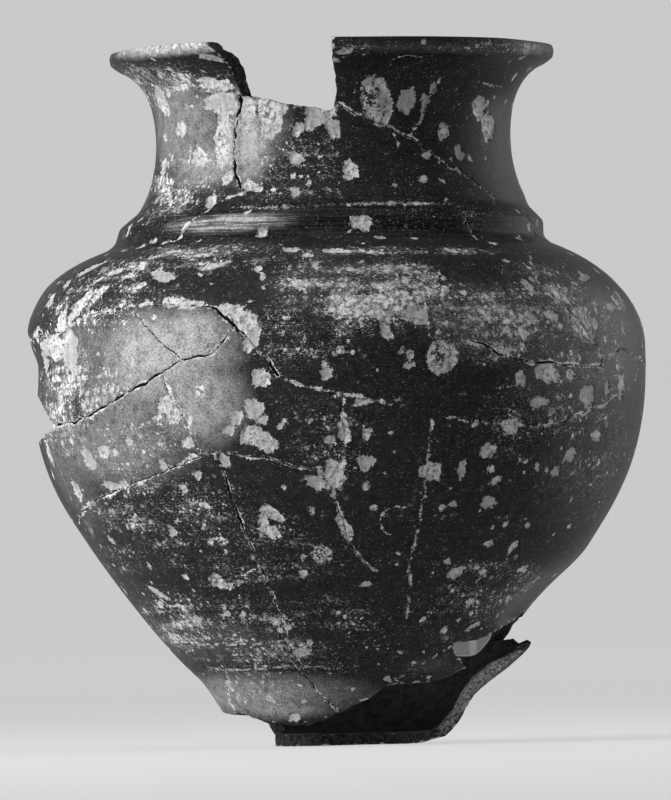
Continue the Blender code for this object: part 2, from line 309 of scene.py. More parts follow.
# Joins between sherds: half the open gap and half the chalky line beside it in mm, then pixels along it
JOINS = (
    (0.52, 0.3, ((239, 94), (240, 103), (237, 118), (234, 129), (233, 146), (235, 169), (240, 188))),
    (0.12, 0.5, ((150, 85), (170, 89), (187, 85), (204, 90), (221, 92), (240, 94))),
    (0.1, 0.3, ((256, 97), (257, 108), (258, 118))),
    (0.0, 0.7, ((261, 184), (236, 194), (215, 204), (198, 216), (187, 226), (176, 239), (160, 243))),
    (0.2, 0.3, ((339, 104), (365, 117), (378, 122), (393, 129), (407, 135), (416, 140), (433, 154))),
    (0.0, 0.3, ((433, 154), (448, 165), (462, 173), (486, 190), (498, 201))),
    (0.08, 0.3, ((413, 130), (423, 116), (428, 104), (436, 90), (440, 78))),
    (0.0, 0.25, ((393, 132), (397, 140), (398, 149))),
    (0.3, 0.1, ((458, 207), (466, 220), (470, 229), (477, 238))),
    (0.3, 0.1, ((525, 214), (534, 227), (544, 240))),
    (0.15, 1.1, ((24, 341), (43, 337), (66, 330), (87, 315), (108, 309),
        (139, 306), (173, 303), (206, 306))),
    (0.5, 0.4, ((206, 306), (217, 309), (235, 327), (256, 348), (269, 361), (277, 375))),
    (0.04, 0.8, ((277, 375), (293, 381), (314, 389), (334, 393), (362, 399), (392, 405))),
    (0.24, 0.25, ((133, 312), (144, 325), (156, 338), (170, 350), (181, 360))),
    (0.24, 0.3, ((235, 327), (222, 341), (212, 353), (198, 357), (181, 360))),
    (0.42, 0.4, ((181, 360), (160, 372), (145, 383), (130, 391), (112, 401),
        (95, 412), (76, 421), (56, 426))),
    (0.16, 0.5, ((161, 374), (167, 391), (180, 413), (190, 433), (200, 455))),
    (0.24, 0.7, ((77, 521), (90, 506), (106, 494), (126, 488), (139, 481),
        (159, 474), (190, 461), (213, 453))),
    (0.2, 0.3, ((213, 453), (243, 455), (271, 460), (299, 468), (325, 467))),
    (0.42, 0.2, ((216, 454), (224, 478), (237, 511), (245, 534), (257, 559), (262, 571))),
    (0.2, 0.25, ((262, 571), (269, 589), (278, 611), (281, 626), (288, 644),
        (293, 664), (316, 692), (337, 711))),
    (0.0, 1.0, ((343, 394), (341, 416), (345, 437), (343, 459), (332, 478))),
    (0.14, 0.35, ((321, 474), (332, 491), (340, 513), (347, 540), (361, 560), (378, 572))),
    (0.0, 0.4, ((431, 420), (430, 433), (428, 461), (426, 488), (421, 516), (413, 549))),
    (0.0, 0.35, ((413, 549), (410, 568), (408, 591), (407, 621))),
    (0.28, 0.45, ((471, 340), (482, 343), (497, 352), (516, 360), (540, 363), (568, 364), (603, 366))),
    (0.06, 0.4, ((445, 418), (464, 420), (497, 424), (528, 427), (552, 425), (568, 421), (591, 409))),
    (0.0, 0.4, ((591, 409), (611, 400), (630, 387))),
    (0.22, 0.3, ((528, 252), (533, 270), (537, 280), (552, 294), (565, 305),
        (583, 325), (595, 342), (603, 366))),
    (0.1, 0.25, ((382, 308), (400, 314), (431, 322))),
    (0.05, 0.8, ((222, 668), (226, 672), (229, 700), (234, 712))),
    (0.0, 0.3, ((208, 588), (214, 583), (231, 579), (254, 569))),
    (0.0, 0.25, ((641, 363), (637, 374), (635, 383))),
    (0.0, 0.25, ((178, 598), (176, 606), (168, 606), (150, 589))),
    (0.0, 0.36, ((172, 641), (205, 644), (240, 645), (275, 645), (305, 644))),
    (0.0, 0.15, ((208, 668), (240, 670), (275, 668), (324, 667))),
    (0.05, 0.16, ((452, 646), (440, 654), (425, 663), (408, 673), (396, 682))),
)

# Scratches: fine pale lines, as pixels along them
SCRATCHES = (
    ((389, 68), (393, 62), (396, 59), (406, 56), (422, 58)),
    ((405, 507), (396, 507), (387, 510), (382, 515), (380, 521), (381, 527), (384, 532), (392, 536)),
    ((478, 82), (492, 86), (502, 87)),
    ((497, 388), (508, 387), (518, 386)),
)

# Places where a thin pale haze with a painted sheen of the lights lightens the slip: pixel of the middle,
# half width, half height and strength
HAZE_AND_PAINTED_SHEEN = (
    (160, 350, 60, 33, 1.0), (190, 335, 36, 23, 1.0), (150, 376, 46, 26, 0.8), (195, 400, 42, 40, 0.8),
    (122, 396, 42, 44, 0.5), (110, 450, 60, 34, 0.5), (180, 124, 34, 44, 0.55), (205, 165, 34, 22, 0.65),
    (250, 136, 19, 44, 0.9), (272, 122, 16, 34, 0.3), (165, 46, 60, 9, 1.0), (225, 222, 52, 9, 1.1),
    (240, 694, 76, 24, 0.62), (200, 640, 70, 30, 0.16), (80, 350, 36, 30, 0.35), (280, 710, 40, 8, 0.7),
    (350, 285, 90, 45, 0.12), (500, 320, 70, 40, 0.22), (428, 665, 22, 10, 0.16), (60, 450, 26, 70, 0.3),
    (532, 50, 24, 7, 0.3), (440, 49, 100, 7, 0.16), (590, 340, 60, 80, 0.25), (600, 450, 44, 80, 0.16),
)

# Joins that run on round the back: half gap and half chalk in mm, then azimuth and height
BACK_JOINS = (
    (0.4, 0.8, ((-72, 0.187), (-86, 0.182), (-104, 0.185), (-121, 0.178), (-139, 0.183))),
    (0.3, 0.5, ((-139, 0.183), (-158, 0.176), (-176, 0.18), (-196, 0.174), (-214, 0.177))),
    (0.3, 0.6, ((-113, 0.145), (-128, 0.136), (-146, 0.14), (-165, 0.128), (-182, 0.124))),
    (0.3, 0.4, ((62, 0.174), (84, 0.169), (107, 0.172), (127, 0.166), (146, 0.177))),
    (0.2, 0.5, ((80, 0.156), (101, 0.149), (121, 0.133), (139, 0.121), (160, 0.123))),
    (0.3, 0.3, ((178, 0.286), (175, 0.27), (179, 0.256), (176, 0.241), (170, 0.224))),
    (0.3, 0.3, ((170, 0.224), (173, 0.206), (166, 0.189), (164, 0.177))),
    (0.2, 0.4, ((203, 0.289), (206, 0.266), (199, 0.247), (203, 0.228), (196, 0.21))),
    (0.3, 0.4, ((-196, 0.174), (-192, 0.15), (-199, 0.125), (-193, 0.101), (-199, 0.073))),
    (0.3, 0.3, ((-165, 0.128), (-161, 0.104), (-167, 0.083), (-160, 0.057), (-164, 0.035))),
    (0.2, 0.5, ((121, 0.133), (117, 0.11), (122, 0.087), (113, 0.068), (111, 0.0548))),
    (0.2, 0.4, ((-104, 0.185), (-99, 0.202), (-106, 0.219), (-101, 0.238), (-108, 0.265))),
    (0.2, 0.3, ((-108, 0.265), (-104, 0.283), (-109, 0.305))),
    (0.2, 0.3, ((112, 0.306), (106, 0.285), (111, 0.264), (103, 0.244), (107, 0.226))),
)

# Flaked places: pixel of the middle, half width and half height in pixels, tilt in degrees
FLAKES = (
    (407, 101, 9, 12, -5), (425, 105, 3, 9, 12), (434, 88, 3, 6, 20), (444, 131, 6, 8, -12),
    (459, 151, 3, 7, -15), (427, 155, 4, 4, 0), (480, 108, 6, 13, -5), (489, 127, 6, 16, -18),
    (350, 170, 8, 10, 0), (361, 222, 10, 9, 0), (345, 52, 9, 5, -20), (211, 59, 12, 6, 20),
    (214, 85, 16, 8, 8), (179, 86, 8, 5, -10), (161, 101, 7, 16, 10), (180, 129, 6, 7, 0),
    (199, 157, 9, 9, 20), (163, 167, 4, 9, -15), (224, 140, 11, 26, 0), (221, 103, 17, 12, 8),
    (271, 115, 15, 20, 0), (246, 110, 9, 15, 0), (247, 138, 8, 20, 0), (268, 103, 14, 7, 8),
    (298, 130, 4, 9, 25), (321, 112, 15, 10, 10), (333, 128, 6, 13, -20), (312, 121, 8, 10, 0),
    (296, 158, 7, 7, 0), (228, 176, 5, 8, 0), (211, 201, 5, 8, 0), (251, 186, 9, 6, 15),
    (295, 192, 5, 5, 0), (128, 229, 3, 7, 25), (262, 233, 5, 6, 0), (153, 241, 4, 3, 0),
    (90, 268, 10, 7, -40), (115, 271, 8, 5, -15), (129, 275, 6, 4, -30), (164, 276, 11, 7, 20),
    (156, 272, 7, 4, -10), (210, 266, 11, 5, -10), (227, 261, 5, 3, 0), (174, 251, 8, 3, -10),
    (153, 257, 6, 3, -15), (182, 255, 4, 2, 0), (140, 285, 5, 4, -20), (99, 292, 8, 6, -40),
    (79, 305, 12, 8, -45), (60, 322, 9, 8, -50), (95, 281, 6, 3, -35), (50, 300, 4, 9, 30),
    (66, 284, 4, 5, 30), (51, 347, 16, 13, 0), (68, 350, 10, 20, 0), (45, 362, 6, 10, 0),
    (74, 372, 5, 9, 0), (232, 311, 15, 7, 10), (245, 322, 12, 12, 30), (252, 338, 8, 13, 20),
    (189, 304, 14, 5, 0), (172, 302, 9, 5, 0), (199, 390, 6, 7, 0), (165, 405, 8, 9, -20),
    (173, 415, 9, 8, 20), (157, 419, 4, 6, 0), (188, 421, 4, 6, 0), (188, 443, 5, 6, 0),
    (236, 418, 6, 8, 0), (253, 409, 10, 10, 20), (261, 378, 8, 10, 0), (253, 436, 13, 10, 0),
    (265, 443, 11, 10, 0), (229, 430, 6, 5, 0), (291, 249, 9, 5, -5), (336, 250, 13, 5, 5),
    (380, 237, 6, 3, 0), (361, 250, 4, 3, 0), (258, 268, 5, 4, 0), (262, 276, 3, 5, 0),
    (326, 373, 6, 7, 10), (386, 331, 6, 8, -25), (340, 350, 5, 4, 0), (352, 352, 2, 2, 0),
    (410, 355, 4, 5, 0), (402, 350, 2, 4, 20), (416, 315, 14, 9, 20), (363, 402, 8, 4, -5),
    (367, 434, 5, 6, 0), (343, 430, 5, 13, 0), (330, 440, 5, 4, 0), (548, 372, 12, 11, 10),
    (588, 396, 6, 12, -5), (622, 386, 4, 13, 5), (521, 379, 5, 7, 15), (540, 402, 9, 5, -5),
    (597, 436, 5, 5, 0), (511, 426, 8, 8, 0), (608, 388, 3, 6, 0), (571, 375, 4, 5, 0), (488, 451, 8, 7, 0),
    (462, 470, 4, 9, 5), (571, 455, 5, 7, -5), (556, 472, 4, 5, 20), (489, 503, 7, 7, 20),
    (496, 481, 6, 4, -15), (489, 544, 4, 4, 0), (513, 548, 3, 8, 0), (456, 573, 9, 6, -30),
    (474, 627, 6, 4, -30), (523, 570, 5, 4, 0), (483, 572, 3, 3, 0), (442, 508, 3, 4, 0),
    (469, 603, 3, 4, 0), (530, 318, 5, 8, -15), (334, 478, 11, 13, 10), (316, 483, 9, 8, 10),
    (331, 465, 6, 6, 30), (345, 529, 6, 14, -15), (366, 463, 8, 8, -30), (366, 486, 4, 4, 0),
    (431, 472, 11, 10, 0), (312, 511, 3, 4, 0), (172, 532, 4, 6, 15), (132, 526, 3, 4, 0),
    (215, 579, 7, 5, 0), (223, 586, 9, 5, 10), (239, 583, 3, 3, 0), (158, 594, 8, 5, 35),
    (76, 491, 5, 11, -30), (88, 460, 5, 13, -25), (103, 452, 5, 8, 0), (110, 486, 8, 5, 10),
    (123, 485, 4, 4, 0), (187, 443, 6, 6, 0), (162, 465, 4, 6, 0), (197, 475, 4, 5, 0), (183, 489, 4, 5, 0),
    (224, 461, 5, 8, 0), (128, 441, 4, 5, 0), (114, 452, 3, 4, 0), (48, 452, 4, 14, -20),
    (60, 400, 4, 9, -25), (272, 514, 13, 6, 38), (270, 532, 12, 6, 38), (263, 521, 5, 9, 0),
    (277, 622, 7, 5, 25), (286, 628, 5, 5, 0), (301, 653, 9, 7, 0), (294, 718, 7, 5, 0),
    (226, 614, 4, 4, 0), (528, 285, 4, 9, -35), (524, 332, 5, 8, 0), (566, 296, 2, 7, -35),
    (576, 313, 3, 5, -30), (592, 337, 2, 8, -20), (601, 353, 2, 5, -10), (585, 277, 7, 4, -20),
    (620, 296, 3, 7, -15), (612, 307, 6, 4, -10), (552, 315, 6, 5, 0), (303, 557, 2, 3, 0),
    (253, 558, 2, 2, 0), (210, 542, 3, 3, 0), (185, 577, 3, 3, 0), (262, 420, 6, 5, 0),
)

# Flaked places with some slip left near the middle: as above, then how much of them it covers
RINGS = ((442, 357, 16, 16, 0, 0.34), (322, 555, 10.5, 10.5, 0, 0.4), (377, 101, 15, 26, -22, 0.32))

# Areas peppered with specks: pixel of the middle, half width and half height in pixels, strength
PEPPERED = (
    (375, 288, 70, 38, 1.35), (500, 322, 60, 36, 1.0), (320, 280, 46, 28, 1.15), (300, 330, 60, 36, 0.55),
    (90, 296, 76, 44, 0.62), (60, 400, 44, 60, 0.85), (80, 384, 36, 36, 1.1), (110, 440, 76, 40, 0.5),
    (180, 258, 90, 36, 0.75), (290, 165, 56, 50, 0.65), (240, 256, 110, 16, 0.65), (390, 250, 110, 12, 0.8),
    (170, 190, 40, 40, 0.85), (150, 515, 90, 60, 0.54), (240, 545, 80, 60, 0.45), (108, 530, 40, 60, 0.5),
    (185, 625, 56, 40, 0.95), (240, 620, 60, 30, 0.7), (262, 692, 74, 22, 0.5), (260, 650, 80, 44, 0.6),
    (330, 615, 60, 34, 0.5), (235, 643, 75, 4, 1.1), (330, 642, 60, 3, 0.7), (240, 656, 70, 4, 0.7),
    (255, 669, 80, 4, 0.8), (390, 203, 66, 3, 1.2), (265, 207, 45, 3, 1.0), (330, 52, 90, 12, 0.6),
    (500, 50, 60, 9, 0.7), (532, 51, 24, 7, 1.3), (160, 46, 60, 8, 0.9), (545, 420, 70, 40, 0.5),
    (600, 340, 44, 70, 0.6), (600, 450, 54, 60, 0.45), (490, 590, 80, 40, 0.6), (400, 640, 100, 24, 0.35),
    (330, 440, 46, 50, 0.45), (150, 80, 60, 30, 0.7), (560, 290, 54, 40, 0.6), (562, 296, 20, 15, 1.2),
    (584, 326, 17, 20, 1.2), (620, 300, 14, 14, 0.9), (450, 215, 90, 20, 0.3), (420, 380, 50, 24, 0.25),
)

# The pale plaster that closes a hole in the back wall, as pixels round it, seen through the break in front,
# and how far from its middle its field is worked out, in the unrolled surface
PLASTER_REACH = 0.6
PLASTER = ((448, 653), (455, 644), (470, 625), (503, 620), (495, 640), (488, 649), (479, 656), (464, 656))

# Greys of the material, as the share of light given back, each pair from the darkest to the lightest
SLIP_TONES = (0.0008, 0.0028)
STROKE_TONE = 0.010
GRIT_TONE = 0.013
# The pale grey of the haze with its painted sheen, which the slip is lightened towards
HAZE_AND_PAINTED_SHEEN_TONE = 0.42
INSIDE_TONES = (0.022, 0.060)
CLAY_TONES = (0.07, 0.60)
CLAY_GRIT_TONE = 0.16
CLAY_PATCH_TONES = (0.05, 0.62)
DULL_TONES = (0.06, 0.44)
CHALK_TONES = (0.14, 0.62)
# Broken clay: a dark grey as painted shade on the breaks, and a pale grey as painted light on the slanted
# break that faces the key light
PAINTED_SHADE_BROKEN_TONES = (0.008, 0.055)
PAINTED_LIT_BROKEN_TONES = (0.03, 0.40)
PLASTER_TONES = (0.40, 0.80)
SMEARED_TONES = (0.05, 0.36)
# The near-white grey of the painted highlight on the plaster's inside
PAINTED_FOLD_HIGHLIGHT_TONE = 0.95
CRACK_TONE = 0.004

# Roughness of bare places, reflection of the slip and height of the finest relief in metres
MATT_ROUGHNESS = 0.92
SLIP_SPECULAR = 0.05
BUMP_HEIGHT = 0.00045

# Where in space some of it lies, in metres, each limit with its soft edge: the collar, the part of the
# slanted break that gets painted light, and the painted highlight down the plaster
COLLAR_FROM = (0.222, 0.226)
COLLAR_TO = (0.244, 0.239)
LIT_FROM_X = (0.034, 0.046)
LIT_BELOW_Z = (0.0465, 0.0450)
LIT_BEFORE_Y = (0.0150, 0.0080)
# Painted highlight: a near-white line down the plaster's inside at this x, and its half width with soft edge
PAINTED_FOLD_HIGHLIGHT_X = 0.0588
PAINTED_FOLD_HIGHLIGHT_WIDTH = (0.0022, 0.0010)

# How its noise is stretched along the axes, and how far its outlines wander
STROKE_SQUEEZE = (40.0, 40.0, 1100.0)
ROW_SQUEEZE = (16.0, 16.0, 240.0)
DUST_SQUEEZE = (0.45, 0.45, 1.1)
WANDER = (0.0034, 0.0034, 0.0034)

# Soft lights: name, azimuth, elevation, distance, width, height and power
SOFT_LIGHTS = (
    ("key", -68.0, 20.0, 1.5, 1.1, 0.8, 40.0),
    ("overhead", 10.0, 72.0, 1.9, 1.6, 1.2, 12.0),
    ("right_card", 118.0, 10.0, 2.0, 1.6, 1.6, 24.0),
)

# The narrow light into the break: where it stands, what it lights, its angle and its power
BREAK_LIGHT = ((0.05, -2.4, 0.02), (0.062, 0.05, 0.0475), 1.5, 4.0)

# How bright the surround is, and the grey, roughness and glow of the ground
SURROUND = 0.16
GROUND = (0.13, 0.9, 0.55)


def heading(angle):
    """Unit vector in the profile plane, at an angle from the outward direction."""
    turn = math.radians(angle)
    return np.array((math.cos(turn), math.sin(turn)))


def curve(start, start_angle, start_handle, end, end_angle, end_handle):
    """Points and outward normals of a cubic curve in the profile plane, as rows."""
    first = start + heading(start_angle) * start_handle
    second = end - heading(end_angle) * end_handle
    t = np.linspace(0.0, 1.0, CURVE_POINTS)[:, None]
    u = 1.0 - t
    points = start * u ** 3 + first * (3 * u * u * t) + second * (3 * u * t * t) + end * t ** 3
    slope = (first - start) * (u * u) + (second - first) * (2 * u * t) + (end - second) * (t * t)
    slope /= np.linalg.norm(slope, axis=1)[:, None]
    return points, np.stack((slope[:, 1], -slope[:, 0]), axis=1)


def wall_outline():
    """The wall's section: out under the foot, up the outside, over the lip and down the inside."""
    foot = np.array((FOOT_RADIUS, FOOT_LEVEL))
    wall_foot = np.array((WALL_FOOT_RADIUS, WALL_FOOT_LEVEL))
    flank = np.array((BELLY_RADIUS - FLANK_TAPER, FLANK_LEVEL))
    belly = np.array((BELLY_RADIUS, BELLY_LEVEL))
    shoulder_end = np.array((COLLAR_RADIUS + SHOULDER_OVERHANG, COLLAR_LEVEL))
    neck_foot = np.array((NECK_FOOT_RADIUS, NECK_FOOT_LEVEL))
    neck = np.array((NECK_RADIUS, NECK_LEVEL))
    lip = np.array((RIM_RADIUS - LIP_UNDERCUT, LIP_LEVEL))
    waist = curve(foot, WAIST_ANGLE, WAIST_HANDLE, wall_foot, WALL_FOOT_ANGLE, WAIST_END_HANDLE)
    low = curve(wall_foot, WALL_FOOT_ANGLE, WALL_FOOT_HANDLE, flank, FLANK_ANGLE, FLANK_LOW_HANDLE)
    high = curve(flank, FLANK_ANGLE, FLANK_HIGH_HANDLE, belly, 90.0, BELLY_HANDLE)
    shoulder = curve(
        belly, 90.0, SHOULDER_HANDLE, shoulder_end, SHOULDER_END_ANGLE, SHOULDER_END_HANDLE,
    )
    neck_low = curve(neck_foot, NECK_FOOT_ANGLE, NECK_FOOT_HANDLE, neck, 90.0, NECK_HANDLE)
    flare = curve(neck, 90.0, FLARE_HANDLE, lip, FLARE_END_ANGLE, FLARE_END_HANDLE)
    collar_low = COLLAR_LEVEL + COLLAR_FILLET
    collar_high = collar_low + COLLAR_FACE
    collar = [
        (COLLAR_RADIUS, collar_low), (COLLAR_RADIUS - COLLAR_BATTER, collar_high),
        (COLLAR_RADIUS - COLLAR_BATTER - COLLAR_ROUND, collar_high + COLLAR_ROUND),
    ]
    bead = [
        (RIM_RADIUS - LIP_ARRIS, HEIGHT - LIP_FACE), (RIM_RADIUS, HEIGHT - LIP_FACE / 2),
        (RIM_RADIUS - LIP_CROWN, HEIGHT - LIP_ARRIS), (RIM_RADIUS - LIP_ROUND, HEIGHT),
        (RIM_RADIUS - LIP_TOP, HEIGHT - LIP_CROWN), (RIM_RADIUS - LIP_BEAD * 0.9, HEIGHT - LIP_FALL),
    ]
    inner = [points - normals * WALL for points, normals in (waist, low, high, shoulder, neck_low, flare)]
    join = curve(
        np.array((STANDING_RADIUS, FLOOR)), 0.0, FLOOR_HANDLE,
        inner[1][0], WALL_FOOT_ANGLE, FLOOR_HANDLE,
    )[0]
    flare_end = 3
    inner_flare_end = 4
    inner_shoulder_end = 3
    rows = [
        [(POLE_RADIUS, 0.0), (STANDING_RADIUS, 0.0), (FOOT_RADIUS - FOOT_EDGE, FOOT_BEVEL)],
        waist[0], low[0], high[0], shoulder[0], collar, neck_low[0], flare[0][:-flare_end], bead,
        inner[5][::-1][inner_flare_end:], inner[4][::-1], inner[3][::-1][inner_shoulder_end:],
        inner[2][::-1], inner[1][::-1], join[::-1], [(POLE_RADIUS, FLOOR)],
    ]
    return np.vstack([np.array(row, float) for row in rows])


class Wall:
    """The wall's section as tables over one coordinate, in which the surface keeps its shape when unrolled.

    A step in the coordinate times the radius is a step in metres, as a step in azimuth is.
    """

    # How many steps past the lip the widest place inside lies at least, and a rise too small to be seen that
    # keeps the levels in rising order
    STEPS_PAST_LIP = 200
    NUDGE = 1e-12

    def __init__(self):
        rough = wall_outline()
        keep = np.r_[True, np.linalg.norm(np.diff(rough, axis=0), axis=1) > 1e-7]
        rough = rough[keep]
        length = np.r_[0.0, np.cumsum(np.linalg.norm(np.diff(rough, axis=0), axis=1))]
        even = np.linspace(0.0, length[-1], int(length[-1] / PROFILE_STEP))
        line = np.stack([np.interp(even, length, rough[:, axis]) for axis in (0, 1)], axis=1)
        reach = int(CORNER_ROUNDING / PROFILE_STEP)
        kernel = np.ones(2 * reach + 1) / (2 * reach + 1)
        for axis in (0, 1):
            padded = np.pad(line[:, axis], reach, mode="reflect", reflect_type="odd")
            line[:, axis] = np.convolve(padded, kernel, mode="valid")
        line[:, 1] = np.clip(line[:, 1], 0.0, HEIGHT)
        step = np.gradient(line, axis=0)
        step /= np.linalg.norm(step, axis=1)[:, None]
        self.radius = line[:, 0]
        self.level = line[:, 1]
        self.out = step[:, 1]
        self.up = -step[:, 0]
        spans = np.linalg.norm(np.diff(line, axis=0), axis=1)
        self.place = np.r_[0.0, np.cumsum(spans / ((self.radius[1:] + self.radius[:-1]) / 2))]
        self.top = int(np.argmax(self.level))
        self.end = self.place[-1]
        self.lip = self.place[self.top]
        outer = self.level[:self.top + 1]
        self.outer_levels = np.maximum.accumulate(outer + np.arange(len(outer)) * self.NUDGE)
        self.inner_levels = np.maximum.accumulate(self.level[self.top:][::-1])
        self.widest = int(np.argmax(self.radius[:self.top]))
        deep = self.top + self.STEPS_PAST_LIP
        self.inner_widest = deep + int(np.argmax(self.radius[deep:]))

    def outside(self, level):
        """The coordinate on the outside at a height."""
        return np.interp(level, self.outer_levels, self.place[:self.top + 1])

    def inside(self, level):
        """The coordinate on the inside at a height."""
        return np.interp(level, self.inner_levels, self.place[self.top:][::-1])

    def under(self, radius):
        """The coordinate under the foot or low on the outside at a radius."""
        return np.interp(radius, self.radius[:self.widest], self.place[:self.widest])

    def floor(self, radius):
        """The coordinate on the floor inside at a radius."""
        return np.interp(
            radius, self.radius[self.inner_widest:][::-1], self.place[self.inner_widest:][::-1],
        )

    def radius_at(self, place):
        """Distance from the axis at a coordinate."""
        return np.interp(place, self.place, self.radius)


wall = Wall()


def hump(distance, below, above):
    """A smooth hump: 1 at no distance, 0 at its reach below or above and past it."""
    share = np.clip(np.where(distance < 0, distance / below, distance / above), -1.0, 1.0)
    return np.cos(math.pi / 2 * share) ** 2


def on_surface(turn, place, rise=0.0):
    """Points in space from azimuths in radians, coordinates and heights over the true surface."""
    turn = np.asarray(turn, float)
    radius = np.interp(place, wall.place, wall.radius)
    level = np.interp(place, wall.place, wall.level)
    out = np.interp(place, wall.place, wall.out)
    up = np.interp(place, wall.place, wall.up)
    degrees = np.degrees(turn)
    push = np.zeros_like(radius)
    for centre, spread, height, below, above, amount in OUT_OF_TRUE:
        aside = (degrees - centre + 180.0) % 360.0 - 180.0
        push += amount * hump(aside, spread, spread) * hump(level - BELLY_LEVEL - height, below, above)
    drift = DRIFT * hump(level - COLLAR_LEVEL + DRIFT_DEPTH, DRIFT_REACH, DRIFT_REACH)
    settled = np.where(radius < STANDING_RADIUS, 0.0, push)
    reach = radius + settled + out * rise
    height = np.clip(level + up * rise, 0.0, HEIGHT)
    return np.stack((reach * np.sin(turn) - drift, -reach * np.cos(turn), height), axis=-1)


def photo_camera():
    """The camera as it stood, turned with the photograph's slight roll."""
    data = bpy.data.cameras.new("photo_camera")
    camera = bpy.data.objects.new("photo_camera", data)
    bpy.context.scene.collection.objects.link(camera)
    aim_x, aim_z = CAMERA_AIM
    pitch = math.atan2(aim_z - CAMERA_LEVEL, CAMERA_DISTANCE)
    camera.matrix_world = (
        Matrix.Translation((aim_x, -CAMERA_DISTANCE, CAMERA_LEVEL))
        @ Matrix.Rotation(math.pi / 2 + pitch, 4, "X")
        @ Matrix.Rotation(math.radians(-CAMERA_ROLL), 4, "Z")
    )
    data.sensor_fit = "HORIZONTAL"
    data.angle = 2 * math.atan(VIEW_WIDTH / 2 / math.hypot(CAMERA_DISTANCE, aim_z - CAMERA_LEVEL))
    data.clip_start = 0.1
    data.clip_end = 80.0
    bpy.context.scene.camera = camera
    return camera


class Finder:
    """Finds where on the unbroken outside a pixel of the photograph falls."""

    COLUMNS = 181
    ROWS = 260

    def __init__(self, camera):
        turns = np.linspace(-math.pi, math.pi, self.COLUMNS)
        places = np.linspace(wall.under(STANDING_RADIUS), wall.lip, self.ROWS)
        grid_turn, grid_place = np.meshgrid(turns, places)
        points = on_surface(grid_turn.ravel(), grid_place.ravel())
        width = len(turns)
        faces = [
            (row * width + column, row * width + column + 1,
             (row + 1) * width + column + 1, (row + 1) * width + column)
            for row in range(len(places) - 1) for column in range(width - 1)
        ]
        self.tree = BVHTree.FromPolygons([Vector(point) for point in points], faces)
        self.matrix = camera.matrix_world.copy()
        self.spread = math.tan(camera.data.angle / 2) / (PHOTO_WIDTH / 2)

    def ray(self, x, y):
        """Start and direction of the line of sight through a pixel."""
        ray = Vector(((x - PHOTO_WIDTH / 2) * self.spread, (PHOTO_HEIGHT / 2 - y) * self.spread, -1.0))
        return self.matrix.translation, (self.matrix.to_3x3() @ ray).normalized()

    def far_inside(self, x, y):
        """Azimuth and coordinate on the far wall's inner face behind a pixel."""
        start, direction = self.ray(x, y)
        hit = self.tree.ray_cast(start + direction * CAMERA_DISTANCE, direction)[0]
        back = hit - direction * WALL
        return math.atan2(back.x, -back.y), float(wall.inside(back.z))

    def __call__(self, x, y):
        """Azimuth in radians and coordinate under a pixel, or the nearest place to its ray."""
        start, direction = self.ray(x, y)
        hit = self.tree.ray_cast(start, direction)[0]
        if hit is None:
            hit = self.tree.find_nearest(start + direction * CAMERA_DISTANCE)[0]
        drift = DRIFT * float(hump(np.array(hit.z - COLLAR_LEVEL + DRIFT_DEPTH), DRIFT_REACH, DRIFT_REACH))
        return math.atan2(hit.x + drift, -hit.y), float(wall.outside(hit.z))


def clouds(points, size, octaves=3, seed=0.0):
    """Smooth noise from about -1 to 1 over points in space, with features of the given size in metres."""
    offset = Vector((seed, seed * 0.7, -seed))
    return np.array([
        noise.fractal(Vector(point) / size + offset, NOISE_FALL, NOISE_STEP, octaves) for point in points
    ])


def fade_at_ends(count, reach):
    """1 along a line of points, and down to 0 at its ends over so many of them."""
    order = np.arange(count)
    return np.clip(np.minimum(order, order[::-1]) / reach, 0.0, 1.0)


def stations_along(outer, inner, closed, seed):
    """Put points along a break's outer and inner edge in equal number, in short uneven steps."""
    if closed:
        outer = np.vstack((outer, outer[:1]))
        inner = np.vstack((inner, inner[:1]))
    steps_out = []
    steps_in = []
    for i in range(len(outer) - 1):
        span = np.linalg.norm((outer[i + 1] - outer[i]) * wall.radius_at(outer[i, 1]))
        count = max(1, int(span / BREAK_SPACING))
        share = np.arange(count)[:, None] / count
        steps_out.append(outer[i] + (outer[i + 1] - outer[i]) * share)
        steps_in.append(inner[i] + (inner[i + 1] - inner[i]) * share)
    if not closed:
        steps_out.append(outer[-1:])
        steps_in.append(inner[-1:])
    edge_out = np.vstack(steps_out)
    edge_in = np.vstack(steps_in)
    for shift, edge in ((0.0, edge_out), (7.0, edge_in)):
        points = on_surface(edge[:, 0], edge[:, 1])
        reach = 1.0 / wall.radius_at(edge[:, 1])
        ends = np.ones(len(edge)) if closed else fade_at_ends(len(edge), 4.0)
        size, amount = BREAK_WOBBLE
        for axis in (0, 1):
            wobble = clouds(points, size, 3, seed + shift + axis * 13.0) * amount
            edge[:, axis] += wobble * reach * ends
    return edge_out, edge_in


def edge_pair(table, outside, inside):
    """Outer and inner edge of a break, from azimuths and the heights or radii that both functions take."""
    turns = np.radians([turn for turn, _ in table])
    values = np.array([value for _, value in table])
    return np.stack((turns, outside(values)), 1), np.stack((turns, inside(values)), 1)


